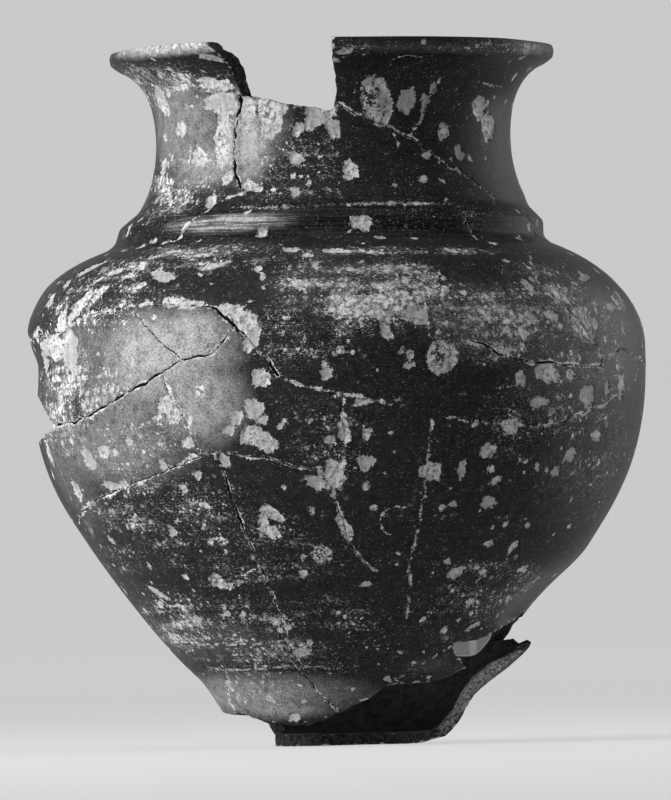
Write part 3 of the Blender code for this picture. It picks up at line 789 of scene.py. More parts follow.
def break_edges():
    """Each break as its outer edge, its inner edge and whether they close on themselves."""
    front_out, front_in = edge_pair(FRONT_GAP, wall.outside, wall.inside)
    lean = np.radians(FRONT_GAP_SKEW) * (np.arange(len(front_in)) < SKEWED_PLACES)
    front_in[:, 0] += lean * (front_in[:, 1] > wall.lip)
    back_out, back_in = edge_pair(BACK_GAP, wall.outside, wall.inside)
    for edge in (front_out, front_in, back_out, back_in):
        edge[[0, -1], 1] = wall.lip
    front_in[0] = front_out[0]
    wall_out, wall_in = edge_pair(LOWER_BREAK, wall.outside, wall.inside)
    wall_in[-len(SLANTED_BREAK):] = edge_pair(SLANTED_BREAK, wall.outside, wall.inside)[1]
    floor_out, floor_in = edge_pair(FLOOR_BREAK, wall.under, wall.floor)
    chip_out, chip_in = edge_pair(SIDE_CHIP, wall.outside, wall.inside)
    breaks = (
        (front_out, front_in, False), (back_out, back_in, False),
        (np.vstack((wall_out, floor_out)), np.vstack((wall_in, floor_in)), True), (chip_out, chip_in, True),
    )
    return [(*stations_along(*found, 1.0 + index), found[2]) for index, found in enumerate(breaks)]


def line_samples(line, spacing):
    """Points at even steps along a line in the unrolled surface."""
    line = np.asarray(line, float)
    found = [line[:1]]
    for before, after in zip(line, line[1:]):
        span = np.linalg.norm((after - before) * wall.radius_at(before[1]))
        count = max(1, int(span / spacing))
        found.append(before + (after - before) * (np.arange(1, count + 1)[:, None] / count))
    return np.vstack(found)


def ragged(line, wander, seed):
    """Make a straight-sided line wander as a fracture does, its ends apart."""
    size, amount = wander
    line = line.copy()
    points = on_surface(line[:, 0], line[:, 1])
    reach = amount / wall.radius_at(line[:, 1])
    ends = fade_at_ends(len(line), 6.0)
    for axis in (0, 1):
        line[:, axis] += clouds(points, size, 3, seed + 5.0 * axis) * reach * ends
    return line


def inside_polygon(points, corners):
    """Which points of the unrolled surface lie inside a closed outline."""
    found = np.zeros(len(points), bool)
    low = corners.min(0)
    high = corners.max(0)
    near = np.flatnonzero(np.all((points >= low) & (points <= high), axis=1))
    x, y = points[near].T
    odd = np.zeros(len(near), bool)
    for (x0, y0), (x1, y1) in zip(corners, np.roll(corners, -1, axis=0)):
        if y0 == y1:
            continue
        crosses = (y0 > y) != (y1 > y)
        odd ^= crosses & (x < (x1 - x0) * (y - y0) / (y1 - y0) + x0)
    found[near] = odd
    return found


class Marks:
    """The joins, scratches and flaked places, in the unrolled surface."""

    def __init__(self, find):
        rng = np.random.default_rng(11)
        self.joins = []
        for index, (gap, chalk, pixels) in enumerate(JOINS):
            line = line_samples([find(x, y) for x, y in pixels], MARK_STEP)
            self.joins.append((ragged(line, JOIN_WANDER, 31.0 + index), gap * MM, chalk * MM))
        for index, (gap, chalk, corners) in enumerate(BACK_JOINS):
            turned = [(math.radians(turn), float(wall.outside(level))) for turn, level in corners]
            line = line_samples(turned, BACK_MARK_STEP)
            self.joins.append((ragged(line, BACK_JOIN_WANDER, 71.0 + index), gap * MM, chalk * MM))
        self.scratches = [line_samples([find(x, y) for x, y in pixels], MARK_STEP) for pixels in SCRATCHES]
        self.flakes = []
        whole = [(*flake, 0.0) for flake in FLAKES]
        for x, y, across, up, tilt, core in (*whole, *RINGS):
            turn, place = find(x, y)
            side = min(MOST_ASIDE, abs(math.sin(turn)))
            wide = across * PIXEL * MM / math.sqrt(1.0 - side * side)
            depth = (RING_DEPTH if core else FLAKE_DEPTH) * MM
            self.flakes.append((turn, place, wide, up * PIXEL * MM, math.radians(tilt), depth, core))
        self.scatter(rng)

    def scatter(self, rng):
        """Add small flakes at random all over the outside."""
        low = wall.outside(SPECK_LOWEST)
        for _ in range(SPECK_COUNT):
            turn = math.radians(SEAM_AZIMUTH) + rng.random() * math.tau
            place = low + rng.random() * (wall.lip - low)
            size = (SPECK_SIZE + SPECK_SPREAD * rng.random() ** 2.5) * MM
            stretch = 0.75 + 0.6 * rng.random()
            tilt = rng.random() * math.pi
            share = wall.radius_at(place) / BELLY_RADIUS
            if rng.random() < share * share * 1.1:
                depth = SPECK_DEPTH * MM
                self.flakes.append((turn, place, size * stretch, size / stretch, tilt, depth, 0.0))


def grid_points():
    """Even points over the whole surface, finest at the front."""
    start = math.radians(SEAM_AZIMUTH)
    found = []
    place = POLE_MARGIN
    row = 0
    while place < wall.end - POLE_MARGIN:
        radius = float(wall.radius_at(place))
        outside = place < wall.lip + FINE_PAST_LIP
        spacing = FRONT_SPACING if outside and place > wall.under(STANDING_RADIUS) else INSIDE_SPACING
        count = int(math.tau * radius / spacing)
        turns = start + (np.arange(count) + 0.5 * (row % 2)) / count * math.tau
        keep = np.ones(count, bool)
        if spacing == FRONT_SPACING:
            aside = np.abs((np.degrees(turns) + 180.0) % 360.0 - 180.0)
            back = aside > FRONT_REACH
            skip = round(BACK_SPACING / FRONT_SPACING)
            keep = ~back | ((np.arange(count) % skip == 0) & (row % skip == 0))
        found.append(np.stack((turns[keep], np.full(keep.sum(), place)), axis=1))
        place += spacing / radius * ROW_PITCH
        row += 1
    return np.vstack(found)


def mark_points(marks):
    """Extra points that follow the joins, scratches and flakes."""
    found = []
    for line, gap, _ in marks.joins:
        slope = np.gradient(line, axis=0)
        slope /= np.linalg.norm(slope, axis=1)[:, None] + 1e-12
        side = np.stack((-slope[:, 1], slope[:, 0]), axis=1)
        radius = wall.radius_at(line[:, 1])[:, None]
        found.append(line[::2])
        edge = max(gap, THINNEST_GAP) + BESIDE_GAP
        for offset in (edge, -edge, edge + MARK_STEP, -edge - MARK_STEP):
            found.append((line + side * (offset / radius))[::2])
    found += [line[::2] for line in marks.scratches]
    for turn, place, wide, tall, tilt, _, _ in marks.flakes:
        radius = float(wall.radius_at(place))
        size = math.sqrt(wide * tall)
        for share in LARGE_FLAKE_RINGS if size > LARGE_FLAKE else SMALL_FLAKE_RINGS:
            count = max(1, int(math.tau * size * share / RING_STEP))
            angle = np.arange(count) / count * math.tau + share
            x = np.cos(angle) * wide * share
            y = np.sin(angle) * tall * share
            aside = x * math.cos(tilt) + y * math.sin(tilt)
            above = y * math.cos(tilt) - x * math.sin(tilt)
            found.append(np.stack((aside, above), 1) / radius + (turn, place))
    return np.vstack(found)


def surface_points(edges, marks):
    """Every point of the unrolled surface: the seam's and the breaks' first, then the rest, thinned out."""
    start = math.radians(SEAM_AZIMUTH)
    seam = [0.0]
    while seam[-1] < wall.end:
        radius = float(wall.radius_at(seam[-1]))
        inside = wall.lip + FINE_PAST_LIP < seam[-1]
        seam.append(seam[-1] + (INSIDE_SPACING if inside else BACK_SPACING) / radius)
    seam = np.array(seam[:-1]) * wall.end / seam[-2]
    pole = np.arange(1, POLE_SIDES) / POLE_SIDES * math.tau + start
    left = np.stack((np.full(len(seam), start), seam), 1)
    right = left + (math.tau, 0.0)
    low = np.stack((pole, np.zeros(len(pole))), 1)
    high = np.stack((pole, np.full(len(pole), wall.end)), 1)
    fixed = [left, right, low, high]
    count = len(seam)
    first_low = 2 * count
    first_high = first_low + len(pole)
    used = first_high + len(pole)
    chains = (
        range(count), range(count, first_low), [0, *range(first_low, first_high), count],
        [count - 1, *range(first_high, used), first_low - 1],
    )
    lines = [pair for chain in chains for pair in zip(chain, chain[1:])]
    loops = []
    holes = []
    for outer, inner, closed in edges:
        middle = inner if closed else inner[1:-1]
        ring_out = list(range(used, used + len(outer)))
        ring_in = list(range(used + len(outer), used + len(outer) + len(middle)))
        fixed += [outer, middle]
        used += len(outer) + len(middle)
        if closed:
            rings = (ring_out, ring_in)
            holes += [outer, inner]
        else:
            rings = (ring_out + ring_in[::-1],)
            holes.append(np.vstack((outer, middle[::-1])))
            ring_in = [ring_out[0], *ring_in, ring_out[-1]]
        for ring in rings:
            lines += list(zip(ring, ring[1:] + ring[:1]))
        loops.append((ring_out, ring_in, closed))
    fixed = np.vstack(fixed)
    loose = np.vstack((mark_points(marks), grid_points()))
    loose[:, 0] = (loose[:, 0] - start) % math.tau + start
    margin = CLEAR_OF_SEAM / wall.radius_at(loose[:, 1])
    loose = loose[
        (loose[:, 0] > start + margin) & (loose[:, 0] < start + math.tau - margin)
        & (loose[:, 1] > POLE_MARGIN) & (loose[:, 1] < wall.end - POLE_MARGIN)
    ]
    everything = np.vstack((fixed, loose))
    keep = np.r_[np.ones(len(fixed), bool), spread_out(loose, tree_of(fixed))]
    for hole in holes:
        keep[len(fixed):] &= ~inside_polygon(loose, hole)
    return everything[keep], lines, loops, holes, count


def spread_out(loose, near):
    """Which loose points stay, so that none is too close to a fixed one or shares its cell of space."""
    cells = np.floor(on_surface(loose[:, 0], loose[:, 1]) / CLOSEST).astype(np.int64)
    inward = (loose[:, 1] > wall.lip).astype(np.int64)
    keys = ((cells[:, 0] * CELL_COLUMNS + cells[:, 1]) * CELL_ROWS + cells[:, 2]) * 2 + inward
    keep = np.zeros(len(loose), bool)
    keep[np.unique(keys, return_index=True)[1]] = True
    for index in np.flatnonzero(keep):
        distance = near.find((*loose[index], 0.0))[2]
        keep[index] = distance * wall.radius_at(loose[index, 1]) >= CLOSEST
    return keep


def triangles(points, lines, holes):
    """Triangulate the unrolled surface and leave out what lies in a hole."""
    made = delaunay_2d_cdt([Vector(point) for point in points], lines, [], 0, 1e-7, True)
    corners = np.array([(vertex.x, vertex.y) for vertex in made[0]])
    faces = np.array(made[2])
    new_index = {}
    for index, originals in enumerate(made[3]):
        for original in originals:
            new_index[original] = index
    middles = corners[faces].mean(axis=1)
    gone = np.zeros(len(faces), bool)
    for hole in holes:
        gone |= inside_polygon(middles, hole)
    return corners, faces[~gone], new_index


def tree_of(points):
    """A search tree over points of the unrolled surface."""
    tree = KDTree(len(points))
    for index, (turn, place) in enumerate(points):
        tree.insert((turn, place, 0.0), index)
    tree.balance()
    return tree


def step_down(amount, width):
    """0 outside an edge, 1 well inside it, smooth between."""
    share = np.clip(amount / width, 0.0, 1.0)
    return share * share * (3.0 - 2.0 * share)


class Relief:
    """Heights over the true surface and fields for the material, at every point."""

    def __init__(self, corners, marks, edges):
        self.corners = corners
        self.radius = wall.radius_at(corners[:, 1])
        self.outer = corners[:, 1] < wall.lip + PAST_LIP
        self.space = on_surface(corners[:, 0], corners[:, 1])
        size = len(corners)
        self.rise = np.zeros(size)
        self.flaked = np.full(size, -FIELD_REACH * MM)
        self.gap = np.full(size, FIELD_REACH * MM)
        self.chalk = np.full(size, -FIELD_REACH * MM)
        self.edge = np.full(size, EDGE_REACH * MM)
        self.throwing()
        self.joins(marks)
        self.flakes(marks)
        self.near_edges(edges)

    def throwing(self):
        """Wheel ridges, a slight unevenness of the hand and the groove over the foot."""
        level = np.interp(self.corners[:, 1], wall.place, wall.level)
        outer = self.corners[:, 1] <= wall.lip
        bands = np.array([
            noise.fractal(Vector((value / RIDGE_WIDTH, 3.0, 0.0)), 0.8, 2.0, 3) for value in level
        ])
        slow = clouds(self.space, HAND_SIZE, 2, 5.0)
        strength = np.where(outer, RIDGE_OUTSIDE, RIDGE_INSIDE) * MM
        self.rise += bands * strength * (1.0 + 0.4 * slow) + slow * UNEVENNESS * MM - INSET * MM
        groove = sum(share * np.exp(-((level - height) / half) ** 2) for height, half, share in GROOVES)
        lines = sum(np.exp(-((level - height) / FINE_LINE_WIDTH) ** 2) for height in FINE_LINES)
        self.rise -= np.where(outer, groove * GROOVE_DEPTH * MM + lines * LINE_DEPTH * MM, 0.0)

    def joins(self, marks):
        """Open grooves and chalky lines where sherds meet, with a slight step across each."""
        samples = []
        values = []
        for index, (line, gap, chalk) in enumerate(marks.joins):
            points = on_surface(line[:, 0], line[:, 1])
            swing = clouds(points, 0.008, 3, 3.0 + index)
            open_gap = gap * np.clip(0.95 + 1.5 * swing, 0.3, 1.9)
            soft = chalk * np.clip(0.6 + 2.0 * clouds(points, 0.007, 3, 9.0 + index), 0.0, 2.4)
            lean = np.clip(4.0 * clouds(points, 0.012, 2, 15.0 + index) + 0.4, -1.0, 1.0)
            slope = np.gradient(line, axis=0)
            rows = np.column_stack((open_gap, soft, lean, slope))
            for shift in ROUND_THE_SEAM:
                samples.append(line + (shift, 0.0))
                values.append(rows)
        for line in marks.scratches:
            samples.append(line)
            values.append(np.tile((-1.0, SCRATCH_WIDTH * MM, 0.0, 0.0, 0.0), (len(line), 1)))
        samples = np.vstack(samples)
        values = np.vstack(values)
        tree = tree_of(samples)
        for index in np.flatnonzero(self.outer):
            turn, place = self.corners[index]
            found = tree.find((turn, place, 0.0))
            distance = found[2] * self.radius[index]
            if distance > EDGE_REACH * MM:
                continue
            gap, chalk, lean, along, rise = values[found[1]]
            side = math.copysign(1.0, along * (place - found[0][1]) - rise * (turn - found[0][0]))
            if gap >= 0:
                self.gap[index] = distance - gap
            self.chalk[index] = chalk * (1.0 + side * lean) + max(gap, 0.0) - distance
        deep = step_down(0.30 * MM - self.gap, 0.6 * MM)
        self.rise -= deep * JOIN_DEPTH * MM
        worn = step_down(self.chalk + 0.2 * MM, 0.5 * MM)
        self.rise -= worn * CHALK_DEPTH * MM

    def flakes(self, marks):
        """Shallow pits with ragged outlines where the slip has come off."""
        tree = tree_of(self.corners)
        pits = np.zeros(len(self.corners))
        for index, (turn, place, wide, tall, tilt, depth, core) in enumerate(marks.flakes):
            radius = float(wall.radius_at(place))
            reach = max(wide, tall) * 1.7 / radius
            for shift in ROUND_THE_SEAM:
                near = tree.find_range((turn + shift, place, 0.0), reach)
                if not near:
                    continue
                ids = np.array([found[1] for found in near])
                away = (self.corners[ids] - (turn + shift, place)) * radius
                x = away[:, 0] * math.cos(tilt) - away[:, 1] * math.sin(tilt)
                y = away[:, 0] * math.sin(tilt) + away[:, 1] * math.cos(tilt)
                angle = np.arctan2(y / tall, x / wide)
                lobes = sum(
                    math.sin(index * 1.7 + order) * np.sin(order * angle + index * order) / order ** 0.5
                    for order in LOBES
                ) * (RING_RAGGED if core else RAGGED)
                share = np.sqrt((x / wide) ** 2 + (y / tall) ** 2) / (1.0 + lobes)
                field = (1.0 - share) * math.sqrt(wide * tall)
                if core:
                    off = np.hypot(x / wide + 0.24, y / tall - 0.12)
                    field = np.minimum(field, (off - core) * wide * 0.12)
                self.flaked[ids] = np.maximum(self.flaked[ids], field)
                pits[ids] = np.maximum(pits[ids], step_down(field, min(0.5 * MM, wide * 0.5)) * depth)
        rough = clouds(self.space, PIT_GRAIN, 4, 17.0)
        self.rise -= pits * (1.0 + 1.1 * rough)

    def near_edges(self, edges):
        """Slightly chipped arrises along the breaks."""
        tree = tree_of(np.vstack([edge for outer, inner, _ in edges for edge in (outer, inner)]))
        for index, (turn, place) in enumerate(self.corners):
            found = tree.find((turn, place, 0.0))
            self.edge[index] = min(EDGE_REACH * MM, found[2] * self.radius[index])
        chips = np.clip(clouds(self.space, CHIP_SIZE, 3, 23.0) + 0.1, 0.0, 1.0)
        worn = np.clip(1.0 - self.edge / (CHIP_REACH * MM), 0.0, 1.0)
        self.rise -= worn * chips * CHIP_DEPTH * MM
        self.chipped = worn * chips


class Shell:
    """The points, faces and fields of the whole jar while it is put together."""

    UNMARKED = {"flaked": -FIELD_REACH, "gap": FIELD_REACH, "chalk": -FIELD_REACH, "plaster": -FIELD_REACH}

    def __init__(self, space, fields):
        self.points = [space]
        self.fields = {name: [values] for name, values in fields.items()}
        self.faces = []
        self.used = len(space)

    def add(self, points, section):
        """Add unmarked points in space and give their numbers."""
        self.points.append(points)
        for name, rows in self.fields.items():
            value = section if name == "section" else self.UNMARKED.get(name, 0.0)
            rows.append(np.full(len(points), value))
        self.used += len(points)
        return np.arange(self.used - len(points), self.used)

    def face_break(self, outer, inner, closed):
        """Put a rough fracture face between a break's outer and inner edge."""
        space = self.points[0]
        size, swell = SECTION_GRAIN
        rows = [outer]
        for row in range(1, SECTION_ROWS):
            share = row / SECTION_ROWS
            between = space[outer] * (1.0 - share) + space[inner] * share
            rough = np.stack([clouds(between, size, 3, 41.0 + axis) for axis in range(3)], 1)
            ids = self.add(between + rough * (math.sin(math.pi * share) * swell), 1.0)
            if not closed:
                ids[[0, -1]] = outer[[0, -1]]
            rows.append(ids)
        rows.append(inner)
        for low, high in zip(rows, rows[1:]):
            if closed:
                low = np.r_[low, low[:1]]
                high = np.r_[high, high[:1]]
            quads = np.stack((low[:-1], low[1:], high[1:], high[:-1]), 1)
            self.faces.append(np.vstack((quads[:, [0, 1, 2]], quads[:, [0, 2, 3]])))

    def close_pole(self, ring):
        """Close the small ring round the axis, under the foot or on the floor."""
        centre = self.add(np.array([[0.0, 0.0, self.points[0][ring, 2].mean()]]), 0.0)[0]
        self.faces.append(np.stack((np.full(len(ring) - 1, centre), ring[:-1], ring[1:]), 1))

    def mesh(self, name):
        """The whole as a mesh without its unused points, with the fields as attributes."""
        faces = np.vstack(self.faces)
        faces = faces[(faces != np.roll(faces, 1, axis=1)).all(axis=1)]
        used, compact = np.unique(faces, return_inverse=True)
        mesh = bpy.data.meshes.new(name)
        mesh.from_pydata(np.vstack(self.points)[used].tolist(), [], compact.reshape(-1, 3).tolist())
        for field, rows in self.fields.items():
            layer = mesh.attributes.new(field, "FLOAT", "POINT")
            layer.data.foreach_set("value", np.concatenate(rows)[used].astype(np.float32))
        shape = bmesh.new()
        shape.from_mesh(mesh)
        bmesh.ops.recalc_face_normals(shape, faces=shape.faces)
        shape.to_mesh(mesh)
        open_edges = sum(1 for edge in shape.edges if len(edge.link_faces) != 2)
        print(name + ":", len(mesh.polygons), "triangles,", open_edges, "open edges")
        shape.free()
        mesh.shade_smooth()
        mesh.set_sharp_from_angle(angle=math.radians(SHARP_ANGLE))
        return mesh


def build_vase(camera):
    """The whole jar as one closed mesh: outside, inside and the faces of its breaks."""
    find = Finder(camera)
    marks = Marks(find)
    edges = break_edges()
    points, lines, loops, holes, seam_count = surface_points(edges, marks)
    corners, faces, new_index = triangles(points, lines, holes)
    relief = Relief(corners, marks, edges)
    right = [new_index[seam_count + i] for i in range(seam_count)]
    left = [new_index[i] for i in range(seam_count)]
    merged = np.arange(len(corners))
    merged[right] = left
    relief.rise[right] = relief.rise[left]
    fields = {
        "flaked": relief.flaked / MM, "gap": relief.gap / MM, "chalk": relief.chalk / MM,
        "chipped": relief.chipped,
        "within": step_down(corners[:, 1] - wall.lip - INSIDE_STARTS, INSIDE_BLEND),
        "section": np.zeros(len(corners)),
        "peppered": patches(corners, find, PEPPERED, PEPPER_OUTSIDE, PEPPER_INSIDE),
        # Pale haze with painted sheen of the lights, strongest on the lit left
        "haze_and_painted_sheen": patches(corners, find, HAZE_AND_PAINTED_SHEEN, HAZE_AND_PAINTED_SHEEN_OUTSIDE, 0.0),
        "plaster": plaster(corners, find),
    }
    shell = Shell(on_surface(corners[:, 0], corners[:, 1], relief.rise), fields)
    shell.faces.append(merged[faces])
    for ring_out, ring_in, closed in loops:
        outer, inner = (merged[[new_index[i] for i in ring]] for ring in (ring_out, ring_in))
        shell.face_break(outer, inner, closed)
    for place in (0.0, wall.end):
        ring = np.flatnonzero(np.abs(corners[:, 1] - place) < SAME_PLACE)
        shell.close_pole(merged[ring[np.argsort(corners[ring, 0])]])
    vase = bpy.data.objects.new("vase_surface", shell.mesh("vase_surface"))
    bpy.context.scene.collection.objects.link(vase)
    return vase


def patches(corners, find, table, least, inside):
    """How strong the listed patches are at each point, from soft patches round given pixels: real specks for
    the peppered table, a pale haze with painted sheen for the other.
    """
    amount = np.full(len(corners), least)
    radius = wall.radius_at(corners[:, 1])
    for x, y, across, up, strength in table:
        turn, place = find(x, y)
        wide = across * PIXEL * MM / max(0.5, math.cos(turn))
        away = (corners - (turn, place)) * radius[:, None]
        share = np.hypot(away[:, 0] / wide, away[:, 1] / (up * PIXEL * MM))
        amount = np.maximum(amount, strength * np.clip(1.6 - share * 1.1, 0.0, 1.0))
    return np.where(corners[:, 1] < wall.lip + PAST_LIP, amount, inside)


def plaster(corners, find):
    """Distance in mm into the plaster fill on both faces of the back wall, below zero outside it."""
    inner = np.array([find.far_inside(x, y) for x, y in PLASTER])
    levels = np.interp(inner[:, 1], wall.place, wall.level)
    outer = np.stack((inner[:, 0], wall.outside(levels)), 1)
    found = np.full(len(corners), -FIELD_REACH)
    for ring in (inner, outer):
        middle = ring.mean(0)
        near = np.flatnonzero(np.all(np.abs(corners - middle) < PLASTER_REACH, axis=1))
        distance = np.full(len(near), math.inf)
        for start, end in zip(ring, np.roll(ring, -1, axis=0)):
            span = end - start
            share = np.clip((corners[near] - start) @ span / (span @ span), 0.0, 1.0)[:, None]
            distance = np.minimum(distance, np.linalg.norm(corners[near] - start - span * share, axis=1))
        side = np.where(inside_polygon(corners[near], ring), 1.0, -1.0)
        into = side * distance * wall.radius_at(middle[1]) / MM
        found[near] = np.clip(into, -FIELD_REACH, FIELD_REACH)
    return found


class Nodes:
    """Short ways to add nodes to a material. A value is a socket, a number or a colour."""

    def __init__(self, material):
        material.use_nodes = True
        self.tree = material.node_tree
        self.shader = self.tree.nodes["Principled BSDF"]

    def link(self, source, target):
        """Join an output socket to an input socket, or set a plain value on it."""
        if isinstance(source, bpy.types.NodeSocket):
            self.tree.links.new(source, target)
        else:
            target.default_value = source

    def new(self, kind, *values, operation=None, **named):
        """A node, set to an operation where it has one, with values at its first and its named inputs."""
        made = self.tree.nodes.new("ShaderNode" + kind)
        if operation:
            made.operation = operation
        for socket, value in zip(made.inputs, values):
            self.link(value, socket)
        for name, value in named.items():
            self.link(value, made.inputs[name])
        return made

    def math(self, operation, first, second=0.0, third=0.0):
        """A math node over values."""
        return self.new("Math", first, second, third, operation=operation).outputs[0]

    def product(self, first, *others):
        """The product of several values."""
        for other in others:
            first = self.math("MULTIPLY", first, other)
        return first

    def highest(self, first, *others):
        """The highest of several values."""
        for other in others:
            first = self.math("MAXIMUM", first, other)
        return first

    def plus(self, value, factor, more):
        """A value times a factor, with more added."""
        return self.math("MULTIPLY_ADD", value, factor, more)

    def minus(self, first, second):
        """The difference of two values."""
        return self.math("SUBTRACT", first, second)

    def field(self, name):
        """A field that the mesh carries."""
        made = self.new("Attribute")
        made.attribute_name = name
        return made.outputs["Fac"]

    def noise(self, vector, scale, detail=3.0, roughness=0.5, output="Fac"):
        """Procedural noise from 0 to 1."""
        made = self.new("TexNoise", Vector=vector, Scale=scale, Detail=detail, Roughness=roughness)
        return made.outputs[output]

    def squeezed(self, vector, factors):
        """Coordinates stretched or squeezed along the axes."""
        return self.new("Mapping", Vector=vector, Scale=factors).outputs["Vector"]

    def ramp(self, value, low, high):
        """0 below low, 1 above high, smooth between; low may be the larger."""
        made = self.new("MapRange", value, low, high)
        made.interpolation_type = "SMOOTHSTEP"
        return made.outputs["Result"]

    def blend(self, share, first, second):
        """A blend of two greys or colours."""
        made = self.new("Mix")
        made.data_type = "RGBA"
        self.link(share, made.inputs["Factor"])
        for value, socket in zip((first, second), made.inputs[6:8]):
            self.link((value, value, value, 1.0) if isinstance(value, float) else value, socket)
        return made.outputs[2]

    def spots(self, vector, scale, amount, largest):
        """Round spots of uneven size, more and larger where the amount is high."""
        made = self.new("TexVoronoi", Vector=vector, Scale=scale)
        draw = self.new("SeparateColor", made.outputs["Color"]).outputs[0]
        size = self.product(self.math("POWER", draw, 2.0), amount, largest)
        return self.minus(size, made.outputs["Distance"])


class SlipNodes(Nodes):
    """Dark burnished slip, flaked and scratched to pale clay, with open joins and rough fractures."""

    def __init__(self, material):
        super().__init__(material)
        self.place = self.new("TexCoord").outputs["Object"]
        self.x, self.y, self.z = self.new("SeparateXYZ", self.place).outputs
        self.within = self.field("within")
        self.outside = self.minus(1.0, self.within)
        self.section = self.field("section")
        self.grit = self.noise(self.place, 1500.0, 3.0, 0.7)
        self.mottle = self.noise(self.place, 480.0, 5.0, 0.82)
        self.patchy = self.noise(self.place, 60.0, 2.0, 0.5)
        self.haze = self.noise(self.place, 26.0, 3.0, 0.6)
        self.strokes = self.noise(self.squeezed(self.place, STROKE_SQUEEZE), 1.0, 3.0, 0.7)
        self.marks()
        self.specks()
        self.finish(self.worn(self.slip()))

    def marks(self):
        """Flaked places, chalky joins and cracks, cut off along noise so that their edges are ragged."""
        coarse = self.minus(self.noise(self.place, 520.0, 5.0, 0.72), 0.5)
        self.jagged = self.plus(self.minus(self.grit, 0.5), 0.55, coarse)
        self.flake = self.ramp(self.plus(self.jagged, 5.0, self.field("flaked")), -0.12, 0.12)
        self.chalky = self.ramp(self.plus(self.jagged, 5.0, self.field("chalk")), -0.08, 0.14)
        self.chip = self.ramp(self.plus(self.jagged, 0.9, self.field("chipped")), 0.22, 0.30)
        self.crack = self.ramp(self.plus(self.jagged, 0.8, self.field("gap")), 0.10, -0.10)
        fill = self.field("plaster")
        frayed = self.product(self.jagged, 4.0, self.outside)
        self.filled = self.ramp(self.math("ADD", fill, frayed), -0.2, 0.3)
        # Painted highlight: a near-white rim along the plaster's edge on the inside
        self.painted_fill_edge_highlight = self.ramp(fill, 0.9, 0.4)

    def specks(self):
        """Flecks and torn patches of several sizes, thicker in some places than in others."""
        wander = self.noise(self.place, 800.0, 3.0, 0.7, "Color")
        bent = self.new("VectorMath", wander, WANDER, self.place, operation="MULTIPLY_ADD").outputs[0]
        rows = self.ramp(self.noise(self.squeezed(self.place, ROW_SQUEEZE), 1.0, 3.0, 0.6), 0.36, 0.62)
        uneven = self.plus(self.patchy, 2.4, -0.2)
        amount = self.product(self.field("peppered"), uneven, self.plus(rows, 0.7, 0.6))
        self.tears = self.noise(bent, 230.0, 6.0, 0.75)
        torn = self.ramp(self.minus(self.tears, self.plus(amount, -0.13, 0.655)), 0.0, 0.030)
        dust = self.noise(self.squeezed(self.place, DUST_SQUEEZE), 1900.0, 2.0, 0.6)
        fine = self.ramp(self.minus(dust, self.plus(amount, -0.18, 0.675)), -0.01, 0.07)
        coarse = self.ramp(self.spots(bent, 240.0, amount, 0.58), 0.0, 0.07)
        medium = self.ramp(self.spots(bent, 640.0, amount, 0.74), 0.0, 0.10)
        flecks = self.highest(self.product(torn, 0.85), self.product(fine, 0.62))
        self.flecks = self.product(flecks, self.outside)
        self.round_specks = self.product(self.highest(coarse, medium), self.outside)

    def slip(self):
        """The slip's grey: near black, with polish strokes, a thin pale haze with painted sheen in places
        and the dark inside.
        """
        slip = self.blend(self.ramp(self.haze, 0.35, 0.75), *SLIP_TONES)
        slip = self.blend(self.product(self.ramp(self.strokes, 0.48, 0.75), 0.5), slip, STROKE_TONE)
        slip = self.blend(self.product(self.ramp(self.grit, 0.48, 0.74), 0.6), slip, GRIT_TONE)
        # Painted sheen: the slip is lightened towards a pale grey where the haze-and-sheen patches say, in
        # streaks, and only between the strokes on the collar
        streaked_haze_and_sheen = self.plus(self.ramp(self.grit, 0.34, 0.62), 0.62, 0.30)
        streaked_haze_and_sheen = self.plus(self.ramp(self.strokes, 0.35, 0.65), 0.08, streaked_haze_and_sheen)
        on_collar = self.product(self.ramp(self.z, *COLLAR_FROM), self.ramp(self.z, *COLLAR_TO))
        between_strokes = self.product(on_collar, self.ramp(self.strokes, 0.58, 0.42))
        streaked_haze_and_sheen = self.product(streaked_haze_and_sheen, self.plus(between_strokes, -0.75, 1.0))
        uneven = self.plus(self.ramp(self.tears, 0.30, 0.58), 0.6, 0.4)
        slip = self.blend(self.product(self.field("haze_and_painted_sheen"), streaked_haze_and_sheen, uneven), slip, HAZE_AND_PAINTED_SHEEN_TONE)
        return self.blend(self.within, slip, self.blend(self.ramp(self.tears, 0.35, 0.65), *INSIDE_TONES))

    def worn(self, slip):
        """The slip with clay, chalk, fractures and plaster over it, each where its field says."""
        clay = self.blend(self.ramp(self.mottle, 0.36, 0.57), *CLAY_TONES)
        clay = self.blend(self.product(self.ramp(self.grit, 0.5, 0.8), 0.5), clay, CLAY_GRIT_TONE)
        patches_of_clay = self.blend(self.mottle, *CLAY_PATCH_TONES)
        clay = self.blend(self.ramp(self.patchy, 0.62, 0.35), clay, patches_of_clay)
        dull = self.blend(self.ramp(self.mottle, 0.36, 0.62), *DULL_TONES)
        chalk = self.blend(self.ramp(self.mottle, 0.36, 0.58), *CHALK_TONES)
        worn = self.blend(self.flecks, slip, dull)
        worn = self.blend(self.round_specks, worn, clay)
        worn = self.blend(self.chalky, worn, chalk)
        worn = self.blend(self.flake, worn, clay)
        worn = self.blend(self.product(self.chip, self.outside), worn, dull)
        worn = self.blend(self.section, worn, self.fracture())
        worn = self.blend(self.filled, worn, self.plaster())
        return self.blend(self.crack, worn, CRACK_TONE)

    def fracture(self):
        """The broken clay's grey: dark, as painted shade, but pale, as painted light, on the slanted break
        that faces the key light.
        """
